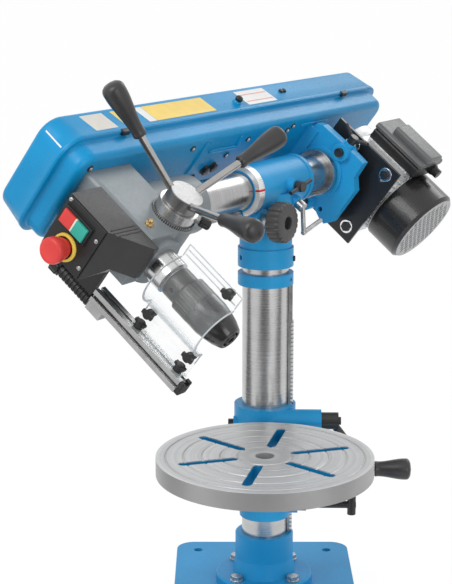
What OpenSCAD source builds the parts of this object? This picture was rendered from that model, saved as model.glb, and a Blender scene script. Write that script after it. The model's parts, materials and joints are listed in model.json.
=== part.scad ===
/* [Base] */
// Width of the bench base
base_w = 280; // [250:5:320]
// Length of the bench base, front to back
base_l = 450; // [420:5:500]
// Height of the bench base
base_h = 42; // [36:1:50]
// Diameter of the column flange
flange_d = 150; // [140:2:170]
// Diameter of the bench bolt holes
bench_hole_d = 14; // [10:1:16]

/* [Column] */
// Column diameter
column_d = 70; // [66:1:72]
// Wall of the column tube
column_wall = 5; // [4:0.5:8]
// Height of the ram axis above the bench
ram_z = 668; // [640:2:720]

/* [Table] */
// Table diameter
table_d = 305; // [280:5:310]
// Table thickness at the rim
table_t = 25; // [22:1:30]
// Height of the table top above the bench
table_z = 323; // [300:1:340]
// Distance from the column axis to the table axis
table_arm = 230; // [225:1:245]
// Bore through the table centre
table_bore = 27; // [20:1:30]
// Width of the radial table slots
slot_w = 14; // [10:1:16]

/* [Arm] */
// Outer diameter of the ram barrel
barrel_d = 72; // [70:1:76]
// Ram diameter
ram_d = 56; // [52:1:58]
// Wall of the ram tube
ram_wall = 6; // [4:0.5:8]
// Diameter of the ram knob
knob_d = 60; // [50:1:62]

/* [Head] */
// Distance from the column axis to the quill axis
reach = 356; // [346:1:366]
// Quill diameter
quill_d = 50; // [46:1:52]
// Diameter of the chuck body
chuck_d = 53; // [46:1:56]
// Largest shank the chuck jaws are set for
shank_d = 10; // [6:1:13]
// Length of a feed lever with its grip
lever_len = 186; // [170:2:196]
// Travel of the start and stop buttons
button_travel = 3; // [2:0.5:4]

/* [Belt guard] */
// Width of the belt guard pan
pan_w = 148; // [144:2:152]
// Wall of the pan and lid sheet
sheet = 2; // [1.5:0.5:2.5]
// Height of the lid
lid_h = 51; // [51:1:56]

/* [Motor] */
// Distance from the column axis to the motor axis
motor_reach = 270; // [266:1:276]
// Diameter of the motor fan cowl
cowl_d = 128; // [124:1:132]
// Length of the fan cowl
cowl_l = 60; // [54:1:62]

/* [Chuck guard] */
// Bend radius of the clear shield
shield_r = 41; // [39:1:44]
// Height of the clear shield
shield_h = 100; // [90:2:104]

/* [Fits] */
// Radial clearance of running fits
run = 0.05; // [0.03:0.01:0.08]
// Radial clearance of fixed fits
seat = 0.03; // [0.02:0.01:0.04]
// Free clearance between parts that pass each other
free = 0.4; // [0.3:0.1:0.6]

/* [Hidden] */
$fn = 64;
arm_yaw = 34;
head_tilt = 52.5;
table_yaw = 1.37;
slot_phase = 18.4;
column_r = column_d / 2;
ram_r = ram_d / 2;
quill_r = quill_d / 2;
plate_t = 14;
flange_top = base_h + 80;
column_top = ram_z - 69;
ring_z1 = ram_z - 132;
ring_z0 = ring_z1 - 18;
rack_m = 2;
rack_root = column_r + 4;
rack_pitch_x = rack_root + 1.2 * rack_m;
lift_n = 12;
lift_r = rack_m * lift_n / 2;
lift_x = rack_pitch_x + lift_r;
lift_z = table_z - 37;
worm_c = 25;
worm_y = -30;
worm_z = lift_z + worm_c;
bracket_z1 = table_z + 7;
bracket_z0 = bracket_z1 - 104;
bracket_r = column_r + 12;
stem_r = 20;
socket_r = 35;
ram_m = 1.25;
ram_n = 16;
ram_pinion_r = ram_m * ram_n / 2;
ram_rack_top = ram_r + 0.2;
ram_pitch = ram_rack_top + 6.2;
ram_pinion_y = -46;
ram_pinion_z = -ram_pitch - ram_pinion_r;
barrel_r = barrel_d / 2;
barrel_y0 = -75;
barrel_y1 = 78;
sleeve_r = column_r + 4.5;
collar_f = -reach + 159;
collar_b = motor_reach - 132;
pan_z = 57;
rim_z = 88;
front_y = -reach - 40;
feed_m = 2;
feed_n = 14;
feed_r = feed_m * feed_n / 2;
feed_pitch_y = -reach + quill_r - 2.4;
feed_y = feed_pitch_y + feed_r;
feed_z = -42;
head_w = 84;
hw = head_w / 2;
quill_z0 = -108;
quill_z1 = 42;
panel_y = front_y - 59;
estop_x = -20;
estop_v = -5;
switch_x = 16.5;
switch_v = -1.5;
pulley_z = 70;
step_h = 11.2;
steps = [57, 50.5, 44, 37.5, 31];
lever_lean = 31.4;
belt_i = 2;
belt_z = pulley_z + (belt_i + 0.5) * step_h;
belt_w = 9;
pan_x = -8;
pan_y0 = -reach - 61;
pan_y1 = motor_reach + 110;
lip = 9;
hinge_x = pan_x - pan_w / 2 - 14;
hinge_z = rim_z + 2;
bracket_y = motor_reach - 120;
plate_y = bracket_y + 38;
screw_y = bracket_y + 12;
hinge_y = [-reach + 96, motor_reach - 80];
rod_x = 52;
rod_z = -12;
rod_r = 7;
motor_r = 56;
cowl_r = cowl_d / 2;
cowl_z1 = -98;
cowl_z0 = cowl_z1 - cowl_l;
shaft_r = 7;
spindle_r = 10;
spline_r = 8.5;
jaw_r = 12;
pivot_x = -103;
pivot_y = -reach - 25;
pivot_z = -42;
prof = 20;
prof_x = pivot_x + 16;
shield_z1 = -106;
shield_y = -reach - 10;

module table_at() {
  rotate([0, 0, -table_yaw]) children();
}

module arm_at() {
  translate([0, 0, ram_z]) rotate([0, 0, -arm_yaw]) children();
}

module head_at() {
  arm_at() rotate([0, -head_tilt, 0]) children();
}

module panel_at() {
  head_at() translate([0, panel_y, 0]) children();
}

module xcyl(r, x0, x1) {
  translate([x0, 0, 0]) rotate([0, 90, 0]) cylinder(r = r, h = x1 - x0);
}

module ycyl(r, y0, y1) {
  translate([0, y0, 0]) rotate([-90, 0, 0]) cylinder(r = r, h = y1 - y0);
}

module zcyl(r, z0, z1) {
  translate([0, 0, z0]) cylinder(r = r, h = z1 - z0);
}

module ring(ro, ri, z0, z1) {
  difference() {
    zcyl(ro, z0, z1);
    zcyl(ri, z0 - 1, z1 + 1);
  }
}

module box(x0, x1, y0, y1, z0, z1) {
  translate([x0, y0, z0]) cube([x1 - x0, y1 - y0, z1 - z0]);
}

// Upright block with rounded corners
module rbox(x0, x1, y0, y1, z0, z1, r) {
  box(x0 + r, x1 - r, y0, y1, z0, z1);
  box(x0, x1, y0 + r, y1 - r, z0, z1);
  for (x = [x0 + r, x1 - r])
    for (y = [y0 + r, y1 - r])
      translate([x, y, 0]) zcyl(r, z0, z1);
}

module hexhead(af, h) {
  cylinder(r = af / sqrt(3), h = h, $fn = 6);
}

// Straight round bar between two points
module bar(a, b, r) {
  d = b - a;
  l = norm(d);
  translate(a) rotate([0, acos(d[2] / l), atan2(d[1], d[0])]) cylinder(r = r, h = l);
}

// Outline of a spur gear with backlash, a tooth pointing along x
module gear2d(m, n) {
  t = 360 / n;
  r = m * n / 2;
  polygon([for (i = [0 : n - 1], k = [[-0.27, -1.25], [-0.07, 0.8], [0.07, 0.8], [0.27, -1.25]])
    (r + k[1] * m) * [cos((i + k[0]) * t), sin((i + k[0]) * t)]]);
}

// Toothed edge of a rack: teeth along x standing up from the pitch line at y 0
module rack2d(m, x0, x1, back) {
  p = PI * m;
  i0 = ceil(x0 / p + 0.4);
  i1 = floor(x1 / p - 0.4);
  polygon(concat([[x0, -back], [x0, -1.2 * m]],
    [for (i = [i0 : i1], k = [[-0.33, -1.2], [-0.1, 0.8], [0.1, 0.8], [0.33, -1.2]])
      [(i + k[0]) * p, k[1] * m]],
    [[x1, -1.2 * m], [x1, -back]]));
}

module base() {
  color([0.16, 0.36, 0.6]) difference() {
    union() {
      difference() {
        rbox(-base_w / 2, base_w / 2, 150 - base_l, 150, 0, base_h, 28);
        rbox(14 - base_w / 2, base_w / 2 - 14, 164 - base_l, 136, -1, base_h - 15, 20);
      }
      box(-5, 5, 160 - base_l, 140, 6, base_h - 10);
      box(10 - base_w / 2, base_w / 2 - 10, -105, -95, 6, base_h - 10);
      zcyl(flange_d / 2, 6, base_h);
      zcyl(24, 0, base_h);
      for (x = [-1, 1], y = [115, 185 - base_l])
        translate([x * (base_w / 2 - 35), y, 0]) zcyl(23, 0, base_h);
    }
    for (x = [-1, 1], y = [115, 185 - base_l])
      translate([x * (base_w / 2 - 35), y, 0]) zcyl(bench_hole_d / 2, -1, base_h + 1);
    for (a = [45 : 90 : 315])
      rotate(a) translate([flange_d / 2 - 14, 0, 0]) zcyl(5 + seat, base_h - 26, base_h + 1);
    for (x = [-62, 62]) {
      box(x - 7, x + 7, 215 - base_l, -120, base_h - 20, base_h + 1);
      for (y = [215 - base_l, -120])
        translate([x, y, 0]) zcyl(7, base_h - 20, base_h + 1);
    }
  }
}

module column_flange() {
  t = base_h + plate_t;
  color([0.16, 0.36, 0.6]) difference() {
    rotate_extrude() polygon([[column_r + seat, base_h], [flange_d / 2, base_h], [flange_d / 2, t - 3],
      [flange_d / 2 - 3, t], [column_r + 14, t], [column_r + 10, t + 26], [column_r + 10, flange_top - 2],
      [column_r + 8, flange_top], [column_r + seat, flange_top]]);
    for (a = [45 : 90 : 315])
      rotate(a) translate([flange_d / 2 - 14, 0, 0]) zcyl(5 + seat, base_h - 1, t + 1);
  }
}

module flange_bolts() {
  color([0.55, 0.55, 0.57])
    for (a = [45 : 90 : 315])
      rotate(a) translate([flange_d / 2 - 14, 0, 0]) {
        zcyl(5, base_h - 25, base_h + plate_t);
        zcyl(10, base_h + plate_t, base_h + plate_t + 2);
        translate([0, 0, base_h + plate_t + 2]) hexhead(16, 6.4);
      }
}

module column() {
  color([0.72, 0.73, 0.74]) ring(column_r, column_r - column_wall, base_h, column_top);
}

module rack_ring() {
  color([0.16, 0.36, 0.6]) difference() {
    ring(column_r + 7, column_r + seat, ring_z0, ring_z1);
    rotate(-25) translate([0, 0, (ring_z0 + ring_z1) / 2]) xcyl(3, column_r + 3, column_r + 10);
  }
}

module column_rack() {
  color([0.5, 0.5, 0.52]) table_at() {
    translate([rack_pitch_x, -7, lift_z + PI * rack_m / 2]) rotate([90, -90, 180])
      linear_extrude(14) rack2d(rack_m, flange_top + seat - lift_z - PI * rack_m / 2,
        136 + table_z - lift_z, rack_pitch_x - column_r - 0.15);
    box(column_r + 0.15, rack_root + 2, -7, 7, table_z + 134, ring_z0 - seat);
  }
}

module table_bracket() {
  color([0.16, 0.36, 0.6]) table_at() difference() {
    union() {
      zcyl(bracket_r, bracket_z0, bracket_z1);
      translate([0, -table_arm, 0]) zcyl(socket_r, table_z - table_t - 60, table_z - table_t - 0.1);
      box(-24, 24, -table_arm + 20, -30, table_z - table_t - 58, table_z - table_t - 12);
      box(0, lift_x + 32, -50, 16, lift_z - 26, worm_z);
      translate([0, worm_y, worm_z]) xcyl(17.2, 0, lift_x + 32);
      translate([0, -table_arm, table_z - 71]) xcyl(12, 20, 46);
      translate([0, -14, table_z - 24]) xcyl(13, -bracket_r - 1, -20);
    }
    zcyl(column_r + run, bracket_z0 - 1, bracket_z1 + 1);
    box(0, rack_pitch_x + 0.8 * rack_m + free, -7 - free, 7 + free, bracket_z0 - 1, bracket_z1 + 1);
    translate([0, -table_arm, 0]) zcyl(stem_r + run, table_z - table_t - 70, table_z);
    translate([lift_x, 0, lift_z]) {
      ycyl(lift_r + 2.2, -11, 9);
      ycyl(22, worm_y - 10, worm_y + 9);
      ycyl(6 + run, -60, 30);
    }
    translate([0, worm_y, worm_z]) {
      xcyl(8.2, lift_x - 16, lift_x + 16);
      xcyl(6 + run, lift_x - 20, lift_x + 60);
    }
    translate([0, -table_arm, table_z - 71]) xcyl(5 + run, 10, 60);
    translate([0, -14, table_z - 24]) xcyl(5 + run, -bracket_r - 20, -20);
  }
}

module bracket_lock() {
  tip = -sqrt(column_r * column_r - 81) - 0.3;
  color([0.12, 0.12, 0.13]) table_at() translate([0, -14, table_z - 24]) {
    xcyl(5, -bracket_r - 8, tip);
    xcyl(9, -bracket_r - 9, -bracket_r - 1 - run);
    bar([-bracket_r - 5, 0, 0], [-bracket_r - 20, 20, -52], 3.6);
    translate([-bracket_r - 20, 20, -52]) sphere(9, $fn = 32);
  }
}

module lift_pinion() {
  color([0.55, 0.55, 0.57]) table_at() translate([lift_x, 0, lift_z]) {
    ycyl(6, -49, 15);
    rotate([90, 0, 0]) translate([0, 0, -7]) linear_extrude(17) rotate(180) gear2d(rack_m, lift_n);
    rotate([90, 0, 0]) translate([0, 0, -worm_y - 7]) linear_extrude(14) gear2d(1.65, 20);
  }
}

module lift_crank() {
  x1 = lift_x + 32;
  color([0.14, 0.14, 0.15]) table_at() translate([0, worm_y, worm_z]) {
    xcyl(6, lift_x - 19, x1 + 30);
    for (i = [0 : 5]) translate([lift_x - 13 + 5 * i, 0, 0]) rotate([0, 90, 0])
      cylinder(r1 = 6, r2 = 6.6, h = 2);
    xcyl(13, x1 + run, x1 + 26);
    bar([x1 + 18, 0, -4], [x1 + 72, 0, -76], 6);
    translate([x1 + 72, 0, -76]) sphere(9, $fn = 32);
    translate([0, 0, -76]) xcyl(4, x1 + 72, x1 + 134);
  }
}

module crank_grip() {
  x1 = lift_x + 32;
  color([0.05, 0.05, 0.05]) table_at() translate([x1 + 82, worm_y, worm_z - 76]) rotate([0, 90, 0])
    rotate_extrude() polygon([[4 + run, 0], [11, 0], [12, 4], [11.8, 18], [15.4, 42], [16.2, 50], [13, 56],
      [4 + run, 56]]);
}

module table() {
  r = table_d / 2;
  color([0.72, 0.73, 0.74]) table_at() translate([0, -table_arm, 0]) rotate(slot_phase) difference() {
    union() {
      zcyl(r, table_z - table_t, table_z);
      zcyl(stem_r, table_z - table_t - 62, table_z - 5);
    }
    for (k = [0.25, 0.41, 0.576, 0.745, 0.91])
      rotate_extrude() translate([k * r, table_z]) circle(r = 1.4, $fn = 16);
    for (a = [0 : 60 : 300]) rotate(a) {
      box(46, 118, -slot_w / 2, slot_w / 2, table_z - table_t - 1, table_z + 1);
      for (x = [46, 118])
        translate([x, 0, 0]) zcyl(slot_w / 2, table_z - table_t - 1, table_z + 1);
      rotate(16) rotate_extrude(angle = 28)
        translate([50, table_z - table_t - 1]) square([r - 64, table_t - 13]);
    }
    zcyl(table_bore / 2, table_z - table_t - 70, table_z + 1);
  }
}

module table_lock() {
  color([0.14, 0.14, 0.15]) table_at() translate([0, -table_arm, table_z - 71]) {
    xcyl(5, stem_r + 0.1, 128);
    xcyl(9, 46 + run, 58);
    translate([122, 0, 0]) zcyl(6, -14, 34);
  }
}

module arm_casting() {
  color([0.16, 0.36, 0.6]) arm_at() difference() {
    union() {
      ycyl(barrel_r, barrel_y0, barrel_y1);
      ycyl(barrel_r + 1.5, barrel_y0 + 2, barrel_y0 + 12);
      ycyl(barrel_r + 1.5, barrel_y1 - 10, barrel_y1 - 2);
      zcyl(sleeve_r, -93, -10);
      zcyl(column_r + 7, -121.8, -93);
      box(-13, 13, barrel_y0, barrel_y1, ram_pinion_z + 2, -20);
      translate([0, ram_pinion_y, ram_pinion_z]) xcyl(17, -22, 24);
      translate([0, 12, 0]) xcyl(12, 20, barrel_r + 10);
      translate([0, 26, 0]) rotate([0, 35, 0]) xcyl(12, 20, barrel_r + 12);
    }
    ycyl(ram_r + run, barrel_y0 - 1, barrel_y1 + 1);
    box(-6 - free, 6 + free, barrel_y0 - 1, barrel_y1 + 1, -ram_pitch - 0.8 * ram_m - free, -20);
    translate([0, ram_pinion_y, ram_pinion_z]) {
      xcyl(ram_pinion_r + 1.6, -8, 8);
      xcyl(7 + run, -30, 30);
    }
    zcyl(column_r + run, -130, -69 + run);
    translate([0, 12, 0]) xcyl(5 + run, 20, 60);
    translate([0, 26, 0]) rotate([0, 35, 0]) xcyl(5 + run, 20, 60);
    rotate([0, 0, 60]) translate([0, 0, -107]) xcyl(4, -column_r - 10, -column_r + 2);
  }
}

module ram_lock() {
  color([0.14, 0.14, 0.15]) arm_at() translate([0, 12, 0]) {
    xcyl(5, ram_r + 0.1, barrel_r + 22);
    xcyl(8, barrel_r + 10 + run, barrel_r + 22);
    bar([barrel_r + 17, -28, -6], [barrel_r + 17, 28, 6], 3);
  }
}

module tilt_lock() {
  color([0.3, 0.3, 0.32]) arm_at() translate([0, 26, 0]) {
    rotate([0, 35, 0]) {
      xcyl(5, ram_r + 0.1, barrel_r + 24);
      xcyl(8, barrel_r + 12 + run, barrel_r + 24);
    }
    bar([48, 0, -32], [49, 2, -72], 3.5);
    translate([49, 2, -72]) sphere(4.2, $fn = 32);
    bar([49, 2, -72], [51, 48, -60], 3.5);
  }
}

module ram_pinion() {
  color([0.55, 0.55, 0.57]) arm_at() translate([0, ram_pinion_y, ram_pinion_z]) {
    xcyl(7, -26, 52);
    rotate([0, 90, 0]) translate([0, 0, -6.5]) linear_extrude(13) rotate(180) gear2d(ram_m, ram_n);
    xcyl(10, -28, -22 - run);
    xcyl(9, 24 + run, 44);
  }
}

module ram_knob() {
  k = knob_d / 2;
  color([0.06, 0.06, 0.06]) arm_at() translate([0, ram_pinion_y, ram_pinion_z]) difference() {
    union() {
      xcyl(k - 4, 44, 68);
      for (a = [0 : 30 : 330])
        rotate([a, 0, 0]) translate([0, 0, k - 5]) xcyl(5, 45.5, 66);
    }
    xcyl(7 + seat, 43, 52 + seat);
    translate([64, 0, 0]) rotate([0, 90, 0]) cylinder(r1 = 9, r2 = 11, h = 5);
  }
}

module ram_rack() {
  color([0.55, 0.55, 0.57]) arm_at() translate([-6, 0, -ram_pitch]) rotate([90, 0, 90])
    linear_extrude(12) mirror([0, 1]) translate([ram_pinion_y + PI * ram_m / 2, 0])
      rack2d(ram_m, collar_f - ram_pinion_y - PI * ram_m / 2 + seat,
        collar_b - ram_pinion_y - PI * ram_m / 2 - seat, 6.2);
}

module ram() {
  color([0.74, 0.75, 0.76]) head_at() difference() {
    ycyl(ram_r, -reach + 56, bracket_y + 26);
    ycyl(ram_r - ram_wall, -reach + 55, bracket_y + 27);
  }
}

module ram_collars() {
  color([0.6, 0.61, 0.62]) head_at()
    for (y = [collar_f - 8, collar_b]) difference() {
      ycyl(ram_pitch + 1, y, y + 8);
      ycyl(ram_r + seat, y - 1, y + 9);
    }
}

module head_casting() {
  color([0.52, 0.53, 0.54]) head_at() difference() {
    union() {
      rbox(-hw, hw, front_y, -reach + 55, -70, pan_z, 8);
      ycyl(ram_r + 13.4, -reach + 40, -reach + 151);
      translate([0, -reach, 0]) {
        zcyl(quill_r + 11, -80, -60);
        zcyl(32, pan_z - 8, pan_z + 11);
      }
      translate([0, feed_y, feed_z]) {
        xcyl(32, 20, hw + 1);
        xcyl(26, -hw - 4, -20);
      }
    }
    translate([0, -reach, 0]) {
      zcyl(quill_r + run, -101, quill_z1 + 4);
      zcyl(16 + 4, quill_z1, pan_z + 12);
      zcyl(26 + seat, pan_z - 5, pan_z + 12);
    }
    translate([0, feed_y, feed_z]) {
      xcyl(9 + run, -hw - 5, hw + 5);
      xcyl(feed_r + 2.4, -10, 10);
      xcyl(21, -hw - 5, -hw);
    }
    ycyl(ram_r + seat, -reach + 56, -reach + 160);
    for (x = [-34, 34], y = [-reach - 34, -reach + 36])
      translate([x, y, 0]) zcyl(3 + seat, pan_z - 14, pan_z + 1);
  }
}

module box_side(t) {
  translate([front_y, 0]) polygon([[-t, 29 - t], [-59 + t, 29 - t], [-59 + t, -44 + 0.47 * t],
    [-9 + 0.33 * t, -86 + t], [-t, -86 + t]]);
}

// Lower left corner cut off the switch box, for the guard bracket
module box_cut(t) {
  translate([0, front_y + 1, 0]) rotate([90, 0, 0]) linear_extrude(70)
    polygon([[-hw - 1, -43 + t], [-10 + t, -62 + t], [-10 + t, -90], [-hw - 1, -90]]);
}

module switch_box() {
  color([0.08, 0.08, 0.09]) head_at() difference() {
    translate([-hw, 0, 0]) rotate([90, 0, 90]) linear_extrude(head_w) box_side(0);
    box_cut(0);
    difference() {
      translate([-hw + 3, 0, 0]) rotate([90, 0, 90]) linear_extrude(head_w - 6) box_side(3);
      box_cut(3);
    }
    translate([0, panel_y, 0]) {
      box(switch_x - 12, switch_x + 12, -1, 20, switch_v - 23, switch_v + 23);
      translate([estop_x, 0, estop_v]) ycyl(14, -1, 20);
    }
  }
}

module switch_panel() {
  color([0.1, 0.1, 0.11]) panel_at() difference() {
    union() {
      box(-hw + 1, hw - 1, -2.5, 0, -42, 27.5);
      box(switch_x - 14, switch_x + 14, -6.5, -2, switch_v - 25, switch_v + 25);
    }
    for (v = [-11.5, 11.5])
      box(switch_x - 10, switch_x + 10, -8, 2, switch_v + v - 10, switch_v + v + 10);
    translate([estop_x, 0, estop_v]) ycyl(11 + run, -5, 5);
    for (k = [[-37, 23], [37, 23], [-26, -37], [21, -37]])
      translate([k[0], 0, k[1]]) ycyl(2, -5, 5);
  }
}

module push_button(v) {
  panel_at() {
    box(switch_x - 9.9, switch_x + 9.9, -7 - button_travel, 1, switch_v + v - 9.9, switch_v + v + 9.9);
    box(switch_x - 11.5, switch_x + 11.5, 0.05, 4, switch_v + v - 10.9, switch_v + v + 10.9);
  }
}

module start_button() {
  color([0.1, 0.5, 0.2]) push_button(-11.5);
}

module stop_button() {
  color([0.75, 0.06, 0.05]) push_button(11.5);
}

module estop_button() {
  color([0.8, 0.05, 0.04]) panel_at() translate([estop_x, 0, estop_v]) {
    ycyl(11, -26, 10);
    ycyl(13, 0.05, 6);
    rotate([90, 0, 0]) rotate_extrude() polygon([[0, 20], [13, 20], [16, 22], [17, 26], [16, 30],
      [12, 33.5], [7, 35], [0, 35.4]]);
  }
}

module spring_cap() {
  color([0.13, 0.13, 0.14]) head_at() translate([-hw - 4, feed_y, feed_z]) difference() {
    union() {
      xcyl(24, -14, 0);
      xcyl(20, -16, -10);
    }
    xcyl(21, -12, 1);
    for (a = [45 : 90 : 315])
      rotate([a, 0, 0]) translate([0, 0, 14]) xcyl(2.5, -20, -11);
  }
}

module return_spring() {
  n = 72;
  color([0.35, 0.36, 0.4]) head_at() translate([-hw - 15, feed_y, feed_z]) rotate([0, 90, 0])
    linear_extrude(10) polygon(concat(
      [for (i = [0 : n]) (10.9 + 10 * i / n) * [cos(i * 20), sin(i * 20)]],
      [for (i = [n : -1 : 0]) (10 + 10 * i / n) * [cos(i * 20), sin(i * 20)]]));
}

module belt_pan() {
  h = pan_w / 2;
  color([0.13, 0.33, 0.6]) head_at() difference() {
    union() {
      difference() {
        rbox(pan_x - h, pan_x + h, pan_y0, pan_y1, pan_z, rim_z, 28);
        rbox(pan_x + sheet - h, pan_x + h - sheet, pan_y0 + sheet, pan_y1 - sheet,
          pan_z + sheet, rim_z + 1, 26);
      }
      difference() {
        rbox(pan_x - h - lip, pan_x + h + lip, pan_y0 - lip, pan_y1 + lip, rim_z - 2, rim_z, 36);
        rbox(pan_x + sheet - h, pan_x + h - sheet, pan_y0 + sheet, pan_y1 - sheet, rim_z - 3, rim_z + 1, 26);
      }
      for (y = hinge_y) translate([hinge_x, y, hinge_z]) {
        ycyl(2.5, -30, 30);
        for (k = [-30, 11]) {
          ycyl(4.5, k, k + 19);
          box(0, 12, k, k + 19, -4, -2.05);
        }
      }
    }
    translate([0, -reach, 0]) zcyl(33, pan_z - 1, pan_z + 4);
    for (y = [-10, 0, 10]) translate([0, motor_reach + y, 0]) zcyl(16, pan_z - 1, pan_z + 4);
    for (x = [-34, 34], y = [-reach - 34, -reach + 36, screw_y])
      translate([x, y, 0]) zcyl(3 + seat, pan_z - 1, pan_z + 4);
  }
}

module pan_screws() {
  color([0.6, 0.6, 0.62]) head_at()
    for (x = [-34, 34], y = [-reach - 34, -reach + 36, screw_y]) translate([x, y, 0]) {
      zcyl(3, pan_z - 12, pan_z + sheet);
      zcyl(6, pan_z + sheet, pan_z + sheet + 3.5);
    }
}

module motor_bracket() {
  color([0.16, 0.36, 0.6]) head_at() difference() {
    union() {
      ycyl(ram_r + 13, bracket_y, bracket_y + 24);
      translate([0, bracket_y + 20, 0]) rotate([90, 0, 0]) linear_extrude(16)
        polygon([[-58, -44], [-60, -57], [-48, -66], [18, -66], [33, -52], [62, -50], [63, -12], [61, 40],
          [56, 50], [48, pan_z - 6], [-48, pan_z - 6], [-48, -20]]);
      box(-48, 48, bracket_y, bracket_y + 24, pan_z - 18, pan_z);
      for (x = [-rod_x, rod_x]) translate([x, 0, rod_z]) ycyl(14, bracket_y - 4, bracket_y + 24);
      translate([0, bracket_y + 10, rod_z]) xcyl(9, rod_x, rod_x + 18);
    }
    ycyl(ram_r + seat, bracket_y - 1, bracket_y + 30);
    for (x = [-rod_x, rod_x]) translate([x, 0, rod_z]) ycyl(rod_r + run, bracket_y - 10, bracket_y + 30);
    translate([0, bracket_y + 10, rod_z]) xcyl(4 + run, rod_x, rod_x + 30);
    for (x = [-34, 34]) translate([x, screw_y, 0]) zcyl(3 + seat, pan_z - 14, pan_z + 1);
    translate([-46, 0, -38]) ycyl(4, bracket_y, bracket_y + 30);
  }
}

module wing_bolt() {
  color([0.14, 0.14, 0.15]) head_at() translate([0, bracket_y + 10, rod_z]) {
    xcyl(4, rod_x + rod_r + 0.1, rod_x + 30);
    xcyl(7, rod_x + 18 + run, rod_x + 30);
    bar([rod_x + 24, 0, 0], [rod_x + 36, 0, -24], 3);
    bar([rod_x + 24, 0, 0], [rod_x + 36, 0, 24], 3);
  }
}

module pulley_bearing() {
  color([0.66, 0.67, 0.68]) head_at() translate([0, -reach, 0])
    ring(26, 16 + run, pan_z - 5, pan_z + 9);
}

module guard_pivot() {
  color([0.06, 0.06, 0.07]) head_at() {
    box(pivot_x, -hw, pivot_y - 4, pivot_y + 4, pivot_z + 4, -2);
    translate([pivot_x, pivot_y, 0]) {
      zcyl(8, pivot_z, 22);
      for (i = [0 : 8]) zcyl(9.5, pivot_z + 3 + 6.4 * i, pivot_z + 6 + 6.4 * i);
      zcyl(5, pivot_z - 22, pivot_z + 1);
      zcyl(11, 20, 34);
      for (a = [0 : 60 : 300]) rotate(a) translate([10, 0, 0]) zcyl(3, 21, 33);
    }
  }
}

module lid_block(w, y0, y1, z0, z1, r) {
  rbox(pan_x - w, pan_x + w, y0, y1, z0, z1, r, $fn = 32);
}

module belt_lid() {
  h = pan_w / 2 + lip;
  z1 = rim_z + lid_h;
  color([0.13, 0.33, 0.6]) head_at() {
    difference() {
      hull() {
        lid_block(h, pan_y0 - lip, pan_y1 + lip, rim_z + run, rim_z + 3, 36);
        lid_block(h - 7, pan_y0 - lip + 7, pan_y1 + lip - 12, z1 - 1, z1, 29);
      }
      hull() {
        lid_block(h - sheet, pan_y0 - lip + sheet, pan_y1 + lip - sheet, rim_z - 1, rim_z + 3, 34);
        lid_block(h - 7 - sheet, pan_y0 - lip + 7 + sheet, pan_y1 + lip - 12 - sheet,
          z1 - 3, z1 - sheet, 27);
      }
    }
    for (y = hinge_y) translate([hinge_x, y, hinge_z]) difference() {
      union() {
        ycyl(4.5, -10.6, 10.6);
        box(0, 5.8, -10.6, 10.6, 0.5, 4.5);
      }
      ycyl(2.5 + run, -12, 12);
    }
  }
}

module quill() {
  color([0.76, 0.77, 0.78]) head_at() difference() {
    translate([0, -reach, 0]) zcyl(quill_r, quill_z0, quill_z1);
    translate([0, -reach, 0]) {
      zcyl(spindle_r + 2, quill_z0 - 1, quill_z1 + 1);
      zcyl(19 + seat, quill_z0 - 1, quill_z0 + 14);
      zcyl(19 + seat, quill_z1 - 14, quill_z1 + 1);
    }
    translate([-20, feed_pitch_y, feed_z]) rotate([90, 0, 90]) linear_extrude(40) difference() {
      translate([-2.4, -14]) square([8, 98]);
      rotate(-90) translate([PI * feed_m / 2 - 100, 0]) rack2d_fill();
    }
  }
}

// Teeth left standing on the back of the quill
module rack2d_fill() {
  p = PI * feed_m;
  for (i = [0 : 32])
    translate([100 + (i - 16) * p, 0])
      polygon([[-0.33 * p, -1.25 * feed_m], [-0.1 * p, 0.8 * feed_m], [0.1 * p, 0.8 * feed_m],
        [0.33 * p, -1.25 * feed_m]]);
}

module quill_bearings() {
  color([0.66, 0.67, 0.68]) head_at() translate([0, -reach, 0]) {
    ring(19, spindle_r + run, quill_z0 + 1, quill_z0 + 14);
    ring(19, spindle_r + run, quill_z1 - 14, quill_z1 - 1);
  }
}

module spindle() {
  color([0.7, 0.71, 0.72]) head_at() translate([0, -reach, 0]) {
    zcyl(spindle_r, quill_z0 - 4, quill_z1);
    zcyl(17, quill_z0 - 4, quill_z0 + 1 - run);
    zcyl(spline_r, quill_z1, 134);
    zcyl(8, -150, quill_z0 - 4);
  }
}

module chuck_body() {
  c = chuck_d / 2;
  color([0.09, 0.09, 0.1]) head_at() translate([0, -reach, 0]) difference() {
    rotate_extrude() polygon([[8 + seat, quill_z0 - 4], [c - 5, quill_z0 - 4], [c - 4, -114], [c - 4, -134],
      [c - 3, -136], [c, -137], [c, -164], [0, -164], [0, -152], [8 + seat, -152]]);
    for (a = [30 : 120 : 270]) rotate(a) translate([0, 0, -125]) xcyl(3.2, 12, 40);
    for (a = [0 : 12 : 348]) rotate(a) translate([c + 0.3, 0, 0]) zcyl(1, -162, -140, $fn = 8);
  }
}

module chuck_nose() {
  c = chuck_d / 2;
  color([0.09, 0.09, 0.1]) head_at() translate([0, -reach, 0]) rotate_extrude()
    polygon([[jaw_r + seat, -164], [c, -164], [c, -178], [c - 2, -182], [c - 8, -200], [c - 13, -209],
      [jaw_r + seat, -211]]);
}

module chuck_jaws() {
  color([0.5, 0.5, 0.52]) head_at() translate([0, -reach, 0]) difference() {
    ring(jaw_r, shank_d / 2, -222, -166);
    for (a = [0 : 120 : 240]) rotate(a) box(0, jaw_r + 2, -0.8, 0.8, -223, -170);
    rotate_extrude() polygon([[7, -223], [jaw_r + 1, -223], [jaw_r + 1, -215]]);
  }
}

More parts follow.
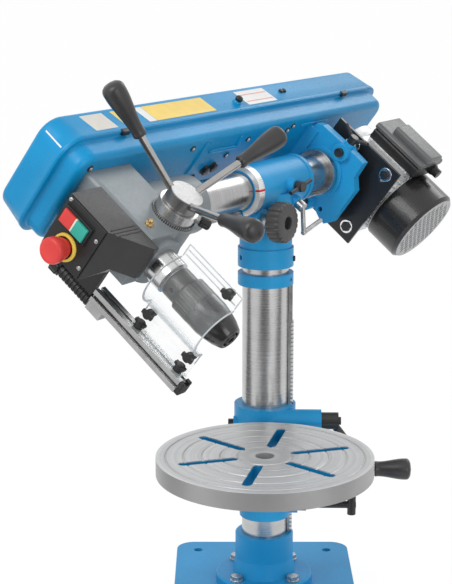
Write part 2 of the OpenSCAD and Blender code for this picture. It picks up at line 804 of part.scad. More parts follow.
module feed_shaft() {
  color([0.78, 0.79, 0.8]) difference() {
    head_at() translate([0, feed_y, feed_z]) {
      xcyl(9, -hw - 14, hw + 21);
      rotate([0, 90, 0]) translate([0, 0, -9]) linear_extrude(18) rotate(90) gear2d(feed_m, feed_n);
      rotate([0, 90, 0]) rotate_extrude() polygon([[0, hw + 20], [23.4, hw + 20], [24, hw + 20.6],
        [24, hw + 39.4], [23.4, hw + 40], [0, hw + 40]]);
    }
    lever_at() zcyl(5 + seat, 14, 60);
  }
}

module depth_ring() {
  color([0.07, 0.07, 0.08]) head_at() translate([0, feed_y, feed_z]) difference() {
    union() {
      xcyl(31, hw + 1 + run, hw + 5);
      xcyl(28.5, hw + 5, hw + 20);
    }
    xcyl(9 + seat, hw, hw + 21);
  }
}

module lever_at() {
  head_at() translate([hw + 21.6, feed_y, feed_z])
    for (a = [1, 121, 241]) rotate([a, 0, 0]) rotate([-90, 0, 0]) rotate([0, lever_lean, 0]) children();
}

module feed_levers() {
  color([0.8, 0.81, 0.82]) lever_at() zcyl(5, 14 + seat, lever_len - 20);
}

module feed_grips() {
  color([0.05, 0.05, 0.05]) lever_at() difference() {
    rotate_extrude() polygon([[0, lever_len - 80], [8.4, lever_len - 80], [9, lever_len - 76],
      [9.6, lever_len - 50], [14.4, lever_len - 18], [15.2, lever_len - 10], [13.4, lever_len - 3],
      [8, lever_len], [0, lever_len]]);
    zcyl(5 + seat, lever_len - 90, lever_len - 20 + seat);
  }
}

// Half section of a five-step cone pulley, widest step first when d is 1
module cone_steps(d, bore) {
  g = 9;
  polygon(concat([[bore, pulley_z], [bore, pulley_z + 5 * step_h]],
    [for (j = [4 : -1 : 0], k = [[0, 1], [0, 0.94], [-g, 0.72], [-g, 0.28], [0, 0.06], [0, 0]])
      [(d > 0 ? steps[j] : steps[4 - j]) + k[0], pulley_z + (j + k[1]) * step_h]]));
}

module spindle_pulley() {
  color([0.7, 0.71, 0.72]) head_at() translate([0, -reach, 0]) {
    rotate_extrude() cone_steps(1, spline_r + run);
    ring(16, spline_r + run, quill_z1 + 8, pulley_z);
    ring(20, spline_r + run, pan_z + 9 + run, pulley_z);
  }
}

module drive_belt() {
  r0 = steps[belt_i] - 8.5;
  color([0.05, 0.05, 0.05]) head_at() translate([0, 0, belt_z]) difference() {
    union() {
      translate([0, -reach, 0]) rotate([0, 0, 180]) rotate_extrude(angle = 180) belt2d(r0);
      translate([0, motor_reach, 0]) rotate_extrude(angle = 180) belt2d(r0);
      for (m = [0, 1]) mirror([m, 0, 0])
        translate([0, motor_reach, 0]) rotate([90, 0, 0]) linear_extrude(reach + motor_reach) belt2d(r0);
    }
  }
}

module belt2d(r0) {
  polygon([[r0, -1.8], [r0 + 7.5, -3.8], [r0 + 7.5, 3.8], [r0, 1.8]]);
}

module motor_plate() {
  color([0.1, 0.1, 0.11]) head_at() {
    difference() {
      box(-72, 75, plate_y, plate_y + 5, -98, 36);
      for (x = [-50, 55]) for (k = [-6, 0, 6])
        translate([x + k, 0, -78]) ycyl(5, plate_y - 1, plate_y + 6);
    }
    for (x = [-rod_x, rod_x]) translate([x, 0, rod_z]) ycyl(rod_r, bracket_y - 10, plate_y);
  }
}

module motor_body() {
  color([0.66, 0.67, 0.68]) head_at() difference() {
    union() {
      translate([0, motor_reach, 0]) {
        zcyl(motor_r, -104, 26);
        zcyl(cowl_r - 1.6 - run, -104, cowl_z1 + 2);
        zcyl(cowl_r - 3, 4, 12);
        zcyl(26, 20, 34);
        for (a = [0 : 10 : 350]) rotate(a) box(motor_r - 3, cowl_r - 2.5, -1.2, 1.2, -94, 5);
      }
      for (x = [-62, 30]) box(x, x + 32, plate_y + 5, motor_reach - 20, -88, 0);
      box(30, cowl_r + 3, motor_reach - 32, motor_reach + 32, -88, -4);
    }
    translate([0, motor_reach, 0]) {
      zcyl(50, -92, 10);
      zcyl(16 + seat, -105, -91);
      zcyl(16 + seat, 9, 24);
      zcyl(shaft_r + 2, -110, 40);
    }
  }
}

module fan_cowl() {
  color([0.07, 0.07, 0.08]) head_at() translate([0, motor_reach, 0]) difference() {
    union() {
      zcyl(cowl_r, cowl_z0 + 6, cowl_z1);
      translate([0, 0, cowl_z0]) cylinder(r1 = cowl_r - 5, r2 = cowl_r, h = 6);
    }
    zcyl(cowl_r - 1.6, cowl_z0 + 6, cowl_z1 + 1);
    translate([0, 0, cowl_z0 + 1.6]) cylinder(r1 = cowl_r - 6.6, r2 = cowl_r - 1.6, h = 4.5);
    for (j = [-7 : 7], i = [-4 : 4])
      if (norm([abs(12.5 * i + 6.25 * (j % 2)) + 4.5, 7 * abs(j) + 1.6]) < cowl_r - 8)
        translate([12.5 * i + 6.25 * (j % 2), 7 * j, cowl_z0]) box(-4.5, 4.5, -1.6, 1.6, -1, 3);
  }
}

module terminal_box() {
  x0 = cowl_r + 3;
  color([0.17, 0.17, 0.18]) head_at() {
    difference() {
      union() {
        box(x0, x0 + 30, motor_reach - 42, motor_reach + 30, -104, -6);
        box(x0 + 28, x0 + 42, motor_reach - 32, motor_reach + 10, -108, -30);
      }
      box(x0 + 3, x0 + 27, motor_reach - 39, motor_reach + 27, -101, -9);
      translate([x0 + 14, motor_reach + 8, 0]) zcyl(5, -120, -100);
    }
    translate([x0 + 14, motor_reach + 8, 0]) {
      ring(9, 5, -110, -104);
      ring(7.5, 5, -120, -110);
    }
  }
}

module motor_shaft() {
  color([0.6, 0.6, 0.62]) head_at() translate([0, motor_reach, 0]) {
    zcyl(shaft_r, cowl_z0 + 12, 128);
    zcyl(46, -84, 2);
    zcyl(10, -90 + run, -84);
    zcyl(10, 2, 9);
  }
}

module motor_fan() {
  color([0.2, 0.2, 0.21]) head_at() translate([0, motor_reach, 0]) {
    ring(13, shaft_r + seat, cowl_z0 + 13, -112);
    ring(46, shaft_r + seat, -117, -113);
    for (a = [0 : 45 : 315]) rotate(a) box(12, 50, -1, 1, cowl_z0 + 14, -114);
  }
}

module motor_pulley() {
  color([0.7, 0.71, 0.72]) head_at() translate([0, motor_reach, 0])
    rotate_extrude() cone_steps(0, shaft_r + seat);
}

module motor_bearings() {
  color([0.62, 0.63, 0.64]) head_at() translate([0, motor_reach, 0]) {
    ring(16, shaft_r + run, -104, -92);
    ring(16, shaft_r + run, 11, 23);
  }
}

module guard_profile() {
  h = prof / 2;
  z1 = pivot_z - run;
  color([0.75, 0.76, 0.77]) head_at() {
    difference() {
      box(prof_x - h, prof_x + h, pivot_y - h, pivot_y + h, -212, z1);
      for (a = [0 : 90 : 270]) translate([prof_x, pivot_y, 0]) rotate(a) {
        box(-2.7, 2.7, 6, 11, -213, z1 + 1);
        box(-4.7, 4.7, 5, 8, -213, z1 + 1);
      }
      translate([prof_x, pivot_y, 0]) zcyl(2.2, -213, z1 + 1);
    }
    difference() {
      box(pivot_x - 8, prof_x - h, pivot_y - 8, pivot_y + 8, pivot_z - 26, z1);
      translate([pivot_x, pivot_y, 0]) zcyl(5 + run, pivot_z - 22 - free, pivot_z + 1);
    }
  }
}

// Wing screw along y through the clear sheet, its nut behind
module wing_screw(grip) {
  ycyl(2.3, -grip - 2, 2);
  ycyl(6.5, -grip - 10, -grip);
  box(-3, 3, -grip - 10, -grip - 6, -9, 9);
  ycyl(5, 0, 4);
}

module guard_clamp() {
  color([0.07, 0.07, 0.08]) head_at() {
    for (z = [shield_z1 - 11, shield_z1 - shield_h + 10]) {
      translate([prof_x + prof / 2, pivot_y, z]) {
        xcyl(2.3, -5, 4);
        xcyl(6.5, 2, 12);
        box(8, 12, -3, 3, -9, 9);
        box(-4.8, -2.2, -4.4, 4.4, -8, 8);
      }
      translate([-shield_r - 12, shield_y, z]) wing_screw(4);
    }
    translate([shield_r + 14, shield_y, shield_z1 - shield_h + 18]) wing_screw(2);
  }
}

module guard_shield() {
  z0 = shield_z1 - shield_h;
  xa = prof_x + prof / 2 + run;
  color([0.8, 0.88, 0.92, 0.4]) head_at() difference() {
    union() {
      translate([0, shield_y, 0]) rotate([0, 0, 180]) rotate_extrude(angle = 180)
        translate([shield_r - 2, z0]) square([2, shield_h]);
      box(shield_r - 1.5, shield_r + 22, shield_y - 2, shield_y, z0, shield_z1);
      box(-shield_r - 19, 1.5 - shield_r, shield_y - 2, shield_y, z0, shield_z1);
      box(xa, -shield_r - 5, shield_y - 4, shield_y - 2, z0, shield_z1);
      box(xa, xa + 1.95, pivot_y - prof / 2, shield_y - 2, z0, shield_z1);
    }
    for (z = [shield_z1 - 11, z0 + 10]) {
      translate([-shield_r - 12, shield_y, z]) ycyl(2.3 + run, -5, 1);
      translate([xa, pivot_y, z]) xcyl(2.3 + run, -1, 3);
    }
    translate([shield_r + 14, shield_y, z0 + 18]) ycyl(2.3 + run, -5, 1);
  }
}

base();
column_flange();
flange_bolts();
column();
rack_ring();
column_rack();
table_bracket();
bracket_lock();
lift_pinion();
lift_crank();
crank_grip();
table();
table_lock();
arm_casting();
ram_lock();
tilt_lock();
ram_pinion();
ram_knob();
ram_rack();
ram();
ram_collars();
head_casting();
switch_box();
switch_panel();
start_button();
stop_button();
estop_button();
spring_cap();
return_spring();
belt_pan();
pan_screws();
motor_bracket();
wing_bolt();
pulley_bearing();
guard_pivot();
belt_lid();
quill();
quill_bearings();
spindle();
chuck_body();
chuck_nose();
chuck_jaws();
feed_shaft();
depth_ring();
feed_levers();
feed_grips();
spindle_pulley();
drive_belt();
motor_plate();
motor_body();
fan_cowl();
terminal_box();
motor_shaft();
motor_fan();
motor_pulley();
motor_bearings();
guard_profile();
guard_clamp();
guard_shield();
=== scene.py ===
"""Radial bench drill press: finishes, pressed covers, grips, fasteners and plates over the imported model,
and a plain studio round it."""
import json
import math

import bpy
import numpy as np
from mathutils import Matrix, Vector
from mathutils.geometry import tessellate_polygon


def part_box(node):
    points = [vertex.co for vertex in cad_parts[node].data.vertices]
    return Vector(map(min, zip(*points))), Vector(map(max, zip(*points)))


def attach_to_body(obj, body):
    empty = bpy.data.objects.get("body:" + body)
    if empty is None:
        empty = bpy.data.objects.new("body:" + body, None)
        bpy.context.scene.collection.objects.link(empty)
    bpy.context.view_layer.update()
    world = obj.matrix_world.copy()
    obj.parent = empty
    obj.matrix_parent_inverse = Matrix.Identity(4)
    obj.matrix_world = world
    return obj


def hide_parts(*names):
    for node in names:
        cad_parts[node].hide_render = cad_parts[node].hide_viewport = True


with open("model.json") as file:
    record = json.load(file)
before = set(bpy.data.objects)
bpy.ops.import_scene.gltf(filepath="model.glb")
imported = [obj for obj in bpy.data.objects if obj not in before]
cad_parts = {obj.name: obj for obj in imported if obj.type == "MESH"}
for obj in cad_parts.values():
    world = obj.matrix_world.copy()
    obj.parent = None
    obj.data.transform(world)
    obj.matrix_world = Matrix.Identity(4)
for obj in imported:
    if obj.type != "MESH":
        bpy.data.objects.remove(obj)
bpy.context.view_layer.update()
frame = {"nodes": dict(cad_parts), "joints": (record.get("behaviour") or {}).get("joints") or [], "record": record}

bl_info = {
    "name": "Radial bench drill press",
    "version": (1, 0, 0),
    "blender": (4, 5, 0),
    "location": "3D View > Sidebar > Drill press",
    "description": "Finishes and added pieces of a radial bench drill press, with a plain studio",
    "category": "Object",
}

JOINTS = {j["name"]: j for j in frame["joints"]}
MM = 0.001


def unit(v):
    """A vector divided by its own length."""
    v = np.asarray(v, float)
    return v / np.linalg.norm(v)


# Axes of the turned groups, read from the joints: the ram (U), the tilted head's up (ZH) and
# side (W), the arm's side (W0), and the crank's axle (TX).
UP = np.array([0.0, 0.0, 1.0])
U = unit(JOINTS["ram_slide"]["axis"])
ZH = unit(JOINTS["guard_swing"]["axis"])
W = np.cross(U, ZH)
W0 = unit(JOINTS["ram_knob_turn"]["axis"])
TX = unit(JOINTS["crank_turn"]["axis"])
RAM = np.asarray(JOINTS["head_tilt"]["pos_m"], float)


def spread(p, origin, ax, ay, az):
    """Millimetres along three axes from an origin, as metres in the model's frame."""
    p = np.asarray(p, float) * MM
    return origin + p[..., :1] * ax + p[..., 1:2] * ay + p[..., 2:3] * az


def head(p):
    """A place in the tilted head: sideways, along the ram, up the quill."""
    return spread(p, RAM, W, U, ZH)


def head_way(d):
    """A direction in the tilted head, as a direction in the model's frame."""
    return head(d) - head((0, 0, 0))


def arm(p):
    """A place in the swinging arm: sideways, along the ram, straight up."""
    return spread(p, RAM, W0, U, UP)


def cross_axes(axis):
    """An axis at unit length, and two directions square to it and to each other."""
    axis = unit(axis)
    side = unit(np.cross(axis, UP if abs(axis[2]) < 0.9 else W0))
    return axis, side, np.cross(axis, side)


# Places in the head, in mm from the ram's axis: sideways, along the ram, up the quill.
QUILL = (0.0, -356.0, 0.0)
FEED = (0.0, -319.4, -42.0)
MOTOR_Y = 270.0
LIP = (-91.0, 75.0, -426.0, 389.0, 36.0)  # outline of the cover's foot: two sides, two ends, corner radius
RIM = 88.0
LID_TOP = 139.0
WALL_FOOT = 93.0
WALL_RISE = 37.0
PAN_FLOOR = 57.0
HINGES = (-260.0, 190.0)
HINGE_X, HINGE_Z = -96.0, 90.0
PANEL_FRONT = -457.5
PLATE_FRONT = 188.0


# -------------------- sizes and colours a user may change

def length(name, text, value):
    """A length in metres."""
    return bpy.props.FloatProperty(name=name, description=text, default=value, min=0.0, unit="LENGTH",
                                   precision=4)


def colour(name, text, value):
    """A colour in linear red, green and blue."""
    return bpy.props.FloatVectorProperty(name=name, description=text, default=value, size=3, min=0.0,
                                         max=1.0, subtype="COLOR")


def power(name, text, value):
    """A lamp's power in watts."""
    return bpy.props.FloatProperty(name=name, description=text, default=value, min=0.0, unit="POWER")


class DrillColours(bpy.types.PropertyGroup):
    """Colours of the finishes."""
    blue: colour("Machine blue", "Enamel on castings, cover and pan", (0.0006, 0.268, 0.560))
    grey: colour("Casting grey", "Silver grey enamel on the drill head", (0.235, 0.262, 0.276))
    black: colour("Black", "Moulded plastic and blackened metal", (0.011, 0.011, 0.012))
    grip: colour("Grip", "Hard dark plastic of the lever grips", (0.032, 0.031, 0.032))
    red: colour("Red", "Stop button and mushroom", (0.74, 0.050, 0.045))
    green: colour("Green", "Start button", (0.030, 0.42, 0.33))
    yellow: colour("Yellow", "Collar round the stop button", (0.90, 0.62, 0.09))
    steel: colour("Steel", "Bright and plated steel", (0.66, 0.66, 0.66))


class DrillSizes(bpy.types.PropertyGroup):
    """Sizes of the added pieces."""
    sheet: length("Sheet", "Thickness of the pressed cover and pan", 0.002)
    lid_round: length("Cover edge", "Radius of the cover's top edge", 0.009)
    pan_round: length("Pan edge", "Radius between the pan's wall and floor", 0.010)
    grip_neck: length("Grip neck", "Radius of a lever grip beside its lever", 0.0088)
    grip_end: length("Grip end", "Largest radius of a lever grip", 0.0152)
    plate: length("Plate", "How far a bare plate stands on its wall", 0.0003)


class DrillStage(bpy.types.PropertyGroup):
    """The studio."""
    lens: bpy.props.FloatProperty(name="Lens", description="Focal length of the camera", default=127.43,
                                  min=1.0, unit="CAMERA")
    sky: bpy.props.FloatProperty(name="Sky", description="Even light from all round", default=0.62, min=0.0)
    key: power("Key", "Power of the large soft lamp", 42.0)
    sheen: power("Sheen", "Power of the lamp behind", 12.0)
    fill: power("Fill", "Power of the low lamp beside the camera", 13.0)


# -------------------- surfaces as whole arrays

def skin(p, cap0=None, cap1=None, loop=False):
    """Quads over rings of points p[ring, place], closed round each ring.

    A cap is "face", one polygon on the end ring, or a point, joined to that ring by a fan.
    With loop the last ring joins the first. Rings run anticlockwise seen from the end they climb to."""
    m, n = p.shape[:2]
    i = np.arange(m if loop else m - 1)[:, None]
    j = np.arange(n)[None, :]
    up, nx = (i + 1) % m, (j + 1) % n
    quads = np.stack(np.broadcast_arrays(i * n + j, i * n + nx, up * n + nx, up * n + j), -1).reshape(-1, 4)
    points, faces = [p.reshape(-1, 3)], [quads]
    around, after = np.arange(n), (np.arange(n) + 1) % n
    for cap, base, flip in ((cap0, 0, True), (cap1, (m - 1) * n, False)):
        if cap is None:
            continue
        a, b = base + around, base + after
        if isinstance(cap, str):
            faces.append((a[::-1] if flip else a)[None, :])
            continue
        c = np.full(n, sum(len(q) for q in points))
        points.append(np.asarray(cap, float).reshape(1, 3))
        faces.append(np.stack([b, a, c] if flip else [a, b, c], -1))
    return np.concatenate(points), faces


def round_angles(n):
    """n angles spaced evenly round a circle."""
    return np.arange(n) * 2 * np.pi / n


def revolved(profile, at, axis, t, swell=1.0):
    """Radius and height pairs in mm, carried to angles t round an axis through a point.

    Place = point + height x axis + swell x radius x (cos t, sin t) on the two cross axes."""
    axis, side, other = cross_axes(axis)
    circle = np.cos(t)[:, None] * side + np.sin(t)[:, None] * other
    r = np.broadcast_to(profile[:, :1] * swell, (len(profile), len(t)))
    return np.asarray(at, float) + MM * (profile[:, 1, None, None] * axis + r[:, :, None] * circle)


def turned(profile, at, axis, n, wave=None):
    """A surface of revolution; a radius of 0 at an end closes it in a pole.

    wave(t, profile) gives a factor on the radius, for lobes."""
    profile, t = np.asarray(profile, float), round_angles(n)
    p = revolved(profile, at, axis, t, 1.0 if wave is None else wave(t[None, :], profile))
    poles = [None, None]
    if profile[0, 0] < 1e-6:
        poles[0], p = p[0, 0], p[1:]
    if profile[-1, 0] < 1e-6:
        poles[1], p = p[-1, 0], p[:-1]
    return skin(p, *poles)


def tube(profile, at, axis, n, span=None):
    """A ring of revolution whose profile closes on itself.

    With a span it is only the arc between two angles in degrees, with flat ends."""
    t = round_angles(n) if span is None else np.radians(np.linspace(*span, n))
    p = revolved(np.asarray(profile, float), at, axis, t)
    return skin(p, loop=True) if span is None else skin(p[::-1].transpose(1, 0, 2), "face", "face")


def round_rect(x0, x1, y0, y1, r, n):
    """Anticlockwise outline: four corner centres, each plus r times a quarter circle."""
    a = np.linspace(0.0, np.pi / 2, n + 1)[None, :] + np.pi / 2 * np.arange(4)[:, None]
    cx = np.array([x1 - r, x0 + r, x0 + r, x1 - r])[:, None]
    cy = np.array([y1 - r, y1 - r, y0 + r, y0 + r])[:, None]
    return np.stack([cx + r * np.cos(a), cy + r * np.sin(a)], -1).reshape(-1, 2)


def at_height(xy, z):
    """An outline lifted to one height."""
    return np.concatenate([xy, np.full((len(xy), 1), float(z))], 1)


def pad(x0, x1, y0, y1, z0, z1, r, soft, place):
    """A block with round corners r and edges rolled over a quarter circle of radius soft."""
    a = np.linspace(0.0, np.pi / 2, 4)
    inset = np.concatenate([soft * (1 - np.sin(a)), soft * (1 - np.cos(a))])
    level = np.concatenate([z0 + soft * (1 - np.cos(a)), z1 - soft * (1 - np.sin(a))])
    rings = np.stack([at_height(round_rect(x0 + i, x1 - i, y0 + i, y1 - i, max(r - i, 0.05), 5), z)
                      for i, z in zip(inset, level)])
    return skin(place(rings), "face", "face")


def on_side(x):
    """Local width, height and rise on a head wall that faces sideways: width runs along the ram."""
    return lambda p: head(np.stack([x + p[..., 2], p[..., 0], p[..., 1]], -1))


def on_front(y):
    """Local width, height and rise on a head wall that faces forward."""
    return lambda p: head(np.stack([p[..., 0], y - p[..., 2], p[..., 1]], -1))


def bead(path, w, h, normal):
    """A raised rib: a half ellipse of half width w and height h, carried along a path on a plane.

    The width and height shrink to nothing over the first and last stations, so the ends are rounded."""
    path, normal = np.asarray(path, float), unit(normal)
    step = np.concatenate([[0.0], np.cumsum(np.linalg.norm(np.diff(path, axis=0), axis=1))])
    s = np.linspace(0.0, step[-1], 41)
    p = np.stack([np.interp(s, step, path[:, k]) for k in range(3)], -1)
    along = np.gradient(p, axis=0)
    along /= np.linalg.norm(along, axis=1)[:, None]
    across = np.cross(normal, along)
    e = np.minimum(s, s[-1] - s) / (w * MM)
    shrink = np.sqrt(np.clip(1 - (1 - np.clip(e, 0, 1)) ** 2, 0.0004, 1))
    a = np.linspace(0, np.pi, 9)
    ring = np.concatenate([np.stack([np.cos(a), np.sin(a)], -1), [[-1.0, -0.25], [1.0, -0.25]]])
    rings = (p[:, None] + MM * shrink[:, None, None] * (w * ring[None, :, :1] * across[:, None]
                                                       + h * ring[None, :, 1:] * normal))
    return skin(rings[:, ::-1], "face", "face")


def attach(name, patches, finish, body, stands_for=None, sharp=38.0):
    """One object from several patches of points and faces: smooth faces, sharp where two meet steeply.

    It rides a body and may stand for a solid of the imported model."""
    points, faces, start = [], [], 0
    for p, polys in patches:
        points.append(p)
        for f in polys:
            faces.extend((f + start).tolist())
        start += len(p)
    mesh = bpy.data.meshes.new(name)
    mesh.from_pydata(np.concatenate(points).tolist(), [], faces)
    mesh.polygons.foreach_set("use_smooth", np.ones(len(mesh.polygons), bool))
    mesh.set_sharp_from_angle(angle=math.radians(sharp))
    mesh.materials.append(FINISH[finish])
    mesh.update()
    obj = bpy.data.objects.new(name, mesh)
    bpy.context.scene.collection.objects.link(obj)
    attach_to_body(obj, body)
    if stands_for:
        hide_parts(stands_for)


# -------------------- finishes

def empty_tree(owner):
    """The cleared node tree of a world or a material."""
    owner.use_nodes = True
    owner.node_tree.nodes.clear()
    return owner.node_tree


class Finish:
    """Writes one node material; each method adds nodes and gives back the socket they end in."""

    def __init__(self, name, **fixed):
        self.material = bpy.data.materials.new(name)
        self.tree = empty_tree(self.material)
        self.shader = self.tree.nodes.new("ShaderNodeBsdfPrincipled")
        out = self.tree.nodes.new("ShaderNodeOutputMaterial")
        self.tree.links.new(self.shader.outputs[0], out.inputs[0])
        self.place = self.add("ShaderNodeTexCoord", {}, "Object")
        self.set(**fixed)

    def add(self, kind, inputs, out=0, **props):
        """One node with its settings, each input linked from a socket or set to a value."""
        n = self.tree.nodes.new(kind)
        for key, value in props.items():
            setattr(n, key, value)
        for key, value in inputs.items():
            self.feed(n.inputs[key], value)
        return n.outputs[out]

    def feed(self, socket, value):
        """Links an input to a socket, or sets it to a value; a colour is made opaque."""
        if isinstance(value, bpy.types.NodeSocket):
            self.tree.links.new(value, socket)
        elif np.ndim(value):
            socket.default_value = (*value, 1.0)[:len(socket.default_value)]
        else:
            socket.default_value = value

    def set(self, **sockets):
        """Links or sets the shader's own sockets, named with _ for a space."""
        for key, value in sockets.items():
            self.feed(self.shader.inputs[key.replace("_", " ")], value)

    def noise(self, scale, detail):
        """Cloudy noise over the object."""
        return self.add("ShaderNodeTexNoise", {"Vector": self.place, "Scale": scale, "Detail": detail,
                                               "Roughness": 0.5}, "Fac")

    def lines(self, scale, along, detail):
        """Noise that changes along one value only."""
        return self.add("ShaderNodeTexNoise", {"W": along, "Scale": scale, "Detail": detail}, "Fac",
                        noise_dimensions="1D")

    def fit(self, value, low, high, to_low=0.0, to_high=1.0):
        """A value carried from one range to another, and held at its ends."""
        return self.add("ShaderNodeMapRange", {"Value": value, "From Min": low, "From Max": high,
                                               "To Min": to_low, "To Max": to_high})

    def math(self, how, a, b=0.0):
        return self.add("ShaderNodeMath", {0: a, 1: b}, operation=how)

    def times(self, a, b):
        return self.math("MULTIPLY", a, b)

    def below(self, a, b):
        """One where a is less than b, else nothing."""
        return self.math("LESS_THAN", a, b)

    def above(self, a, b):
        """One where a is greater than b, else nothing."""
        return self.math("GREATER_THAN", a, b)

    def mix(self, share, a, b):
        return self.add("ShaderNodeMix", {0: share, 6: a, 7: b}, 2, data_type="RGBA")

    def gloss(self, noise, low, high):
        """A roughness that drifts between two levels with a noise."""
        return self.fit(noise, 0.3, 0.7, low, high)

    def mottle(self, noise, base, dull):
        """A colour that drifts with a noise to dull times its brightness."""
        return self.mix(self.fit(noise, 0.35, 0.65), tint(base, dull), base)

    def from_point(self, at):
        return self.add("ShaderNodeVectorMath", {0: self.place, 1: at}, 0, operation="SUBTRACT")

    def dot(self, a, b):
        return self.add("ShaderNodeVectorMath", {0: a, 1: b}, "Value", operation="DOT_PRODUCT")

    def along(self, at, axis):
        """Distance along an axis from a point on it."""
        return self.dot(self.from_point(at), unit(axis))

    def polar(self, at, axis):
        """Distance from an axis and angle round it."""
        _, side, other = cross_axes(axis)
        v = self.from_point(at)
        x, y = self.dot(v, side), self.dot(v, other)
        far = self.math("SQRT", self.math("ADD", self.times(x, x), self.times(y, y)))
        return far, self.math("ARCTAN2", y, x)

    def edges(self, radius):
        """The normal rounded over each edge, and how near an edge a place is."""
        soft = self.add("ShaderNodeBevel", {"Radius": radius}, samples=6)
        flat = self.add("ShaderNodeNewGeometry", {}, "Normal")
        return soft, self.fit(self.dot(soft, flat), 0.985, 0.86)

    def bump(self, height, strength, distance, normal=None):
        inputs = {"Height": height, "Strength": strength, "Distance": distance}
        if normal is not None:
            inputs["Normal"] = normal
        return self.add("ShaderNodeBump", inputs)


def tint(c, k, lift=0.0):
    """A colour made k times as bright, plus an even lift."""
    return tuple(float(min(1.0, v * k + lift)) for v in c)


def enamel(name, base, rough, peel, chip, coat, grain=900.0, edge=0.0009, metallic=0.0, shine=0.5):
    """Sprayed paint: broad drifts of shade, orange peel, dust in the gloss, thin paint on the edges."""
    f = Finish(name, Metallic=metallic, Coat_Weight=coat, Coat_Roughness=0.12, Specular_IOR_Level=shine)
    broad, fine, skin_ = f.noise(7.0, 3), f.noise(240.0, 4), f.noise(grain, 2)
    soft, near = f.edges(edge)
    shade = f.mix(f.fit(broad, 0.34, 0.66), tint(base, 0.90), tint(base, 1.08, 0.004))
    thin = f.times(near, f.fit(fine, 0.42, 0.62, 0.15, chip))
    f.set(Base_Color=f.mix(thin, shade, tint(base, 1.25, 0.10)),
          Roughness=f.gloss(fine, rough - 0.06, rough + 0.09),
          Normal=f.bump(skin_, peel, 0.00018, soft))
    return f.material


def moulded(name, base, rough=0.42, grain=1400.0, depth=0.25, edge=0.0007, rub=0.25):
    """Moulded plastic: a fine pebbled grain, rubbed smoother and paler on the edges."""
    f = Finish(name, Specular_IOR_Level=0.45)
    broad, fine, pebble = f.noise(16.0, 3), f.noise(320.0, 4), f.noise(grain, 2)
    soft, near = f.edges(edge)
    shade = f.mix(f.fit(broad, 0.3, 0.7), tint(base, 0.85), tint(base, 1.15, 0.002))
    worn = f.times(near, f.fit(fine, 0.4, 0.65, 0.05, rub))
    f.set(Base_Color=f.mix(worn, shade, tint(base, 1.6, 0.05)),
          Roughness=f.gloss(fine, rough - 0.07, rough + 0.08),
          Normal=f.bump(pebble, depth, 0.00012, soft))
    return f.material


def machined(name, base, at, axis, rough=0.24, pitch=2200.0, mark=0.10, dull=0.80):
    """Turned or ground steel: fine tool marks ringed about an axis, a few darker bands, brighter edges."""
    f = Finish(name, Metallic=1.0)
    s = f.along(at, axis)
    fine, bands, cloud = f.lines(pitch, s, 2), f.lines(60.0, s, 4), f.noise(40.0, 4)
    soft, near = f.edges(0.0006)
    shade = f.mottle(bands, base, dull)
    shade = f.mix(f.times(f.fit(cloud, 0.45, 0.75), 0.25), shade, tint(base, 0.72))
    f.set(Base_Color=f.mix(f.times(near, 0.5), shade, tint(base, 1.2, 0.05)),
          Roughness=f.gloss(fine, rough - 0.05, rough + 0.10),
          Normal=f.bump(fine, mark, 0.00008, soft))
    return f.material


def plated(name, base, rough, grain=700.0, edge=0.0006, dull=0.75):
    """Plain plated or cast metal: mottled shade, fine grain, brighter edges."""
    f = Finish(name, Metallic=1.0)
    cloud, fine = f.noise(60.0, 4), f.noise(grain, 4)
    soft, near = f.edges(edge)
    shade = f.mottle(cloud, base, dull)
    f.set(Base_Color=f.mix(f.times(near, 0.6), shade, tint(base, 1.25, 0.06)),
          Roughness=f.gloss(fine, rough - 0.08, rough + 0.10),
          Normal=f.bump(fine, 0.12, 0.0001, soft))
    return f.material


def ground_table(base, paint, at):
    """Face-turned iron: rings about the table's axis, and painted shade that darkens its upright rim; the slots'
    walls keep the paint.
    """
    rim_from, boss_to = 0.1495, 0.024
    face_from = 0.3213
    f = Finish("table_iron")
    far, _ = f.polar(at, UP)
    rings, bands, cloud = f.lines(1500.0, far, 2), f.lines(90.0, far, 3), f.noise(35.0, 4)
    soft, near = f.edges(0.0006)
    face = f.add("ShaderNodeTexCoord", {}, "Normal")
    upright = f.below(f.math("ABSOLUTE", f.dot(face, UP)), 0.6)
    inside = f.times(f.below(far, rim_from), f.below(f.dot(f.place, UP), face_from))
    hole = f.below(far, boss_to)
    slot = f.math("SUBTRACT", f.times(upright, inside), f.times(upright, hole))
    shade = f.mix(f.fit(bands, 0.34, 0.66), tint(base, 0.82), tint(base, 1.06))
    shade = f.mix(f.times(f.fit(cloud, 0.45, 0.75), 0.3), shade, tint(base, 0.74))
    shade = f.mix(f.times(near, 0.4), shade, tint(base, 1.2, 0.06))
    # painted shade: the upright rim is darkened to stand in for the darker reflection that its vertical face shows
    rim = f.times(upright, f.above(far, rim_from))
    shade = f.mix(f.times(rim, 0.75), shade, tint(base, 0.42))
    f.set(Base_Color=f.mix(slot, shade, tint(paint, 0.8)),
          Metallic=f.fit(slot, 0.0, 1.0, 0.65, 0.0),
          Roughness=f.gloss(rings, 0.30, 0.46),
          Normal=f.bump(rings, 0.12, 0.0001, soft))
    return f.material


def cowl_black(base, grille):
    """Gloss black fan cowl with fine scratches; its slotted end is left in bare grey metal."""
    grille_below = -0.1574
    f = Finish("cowl_black", Coat_Weight=0.2)
    s = f.along(RAM, ZH)
    end = f.below(s, grille_below)
    fine, scratch = f.noise(420.0, 4), f.lines(1800.0, s, 3)
    soft, near = f.edges(0.0009)
    shade = f.mix(f.times(near, 0.3), base, tint(base, 2.0, 0.06))
    f.set(Base_Color=f.mix(end, shade, f.mottle(fine, grille, 0.8)),
          Roughness=f.gloss(fine, 0.24, 0.40), Normal=f.bump(scratch, 0.05, 0.0001, soft))
    return f.material


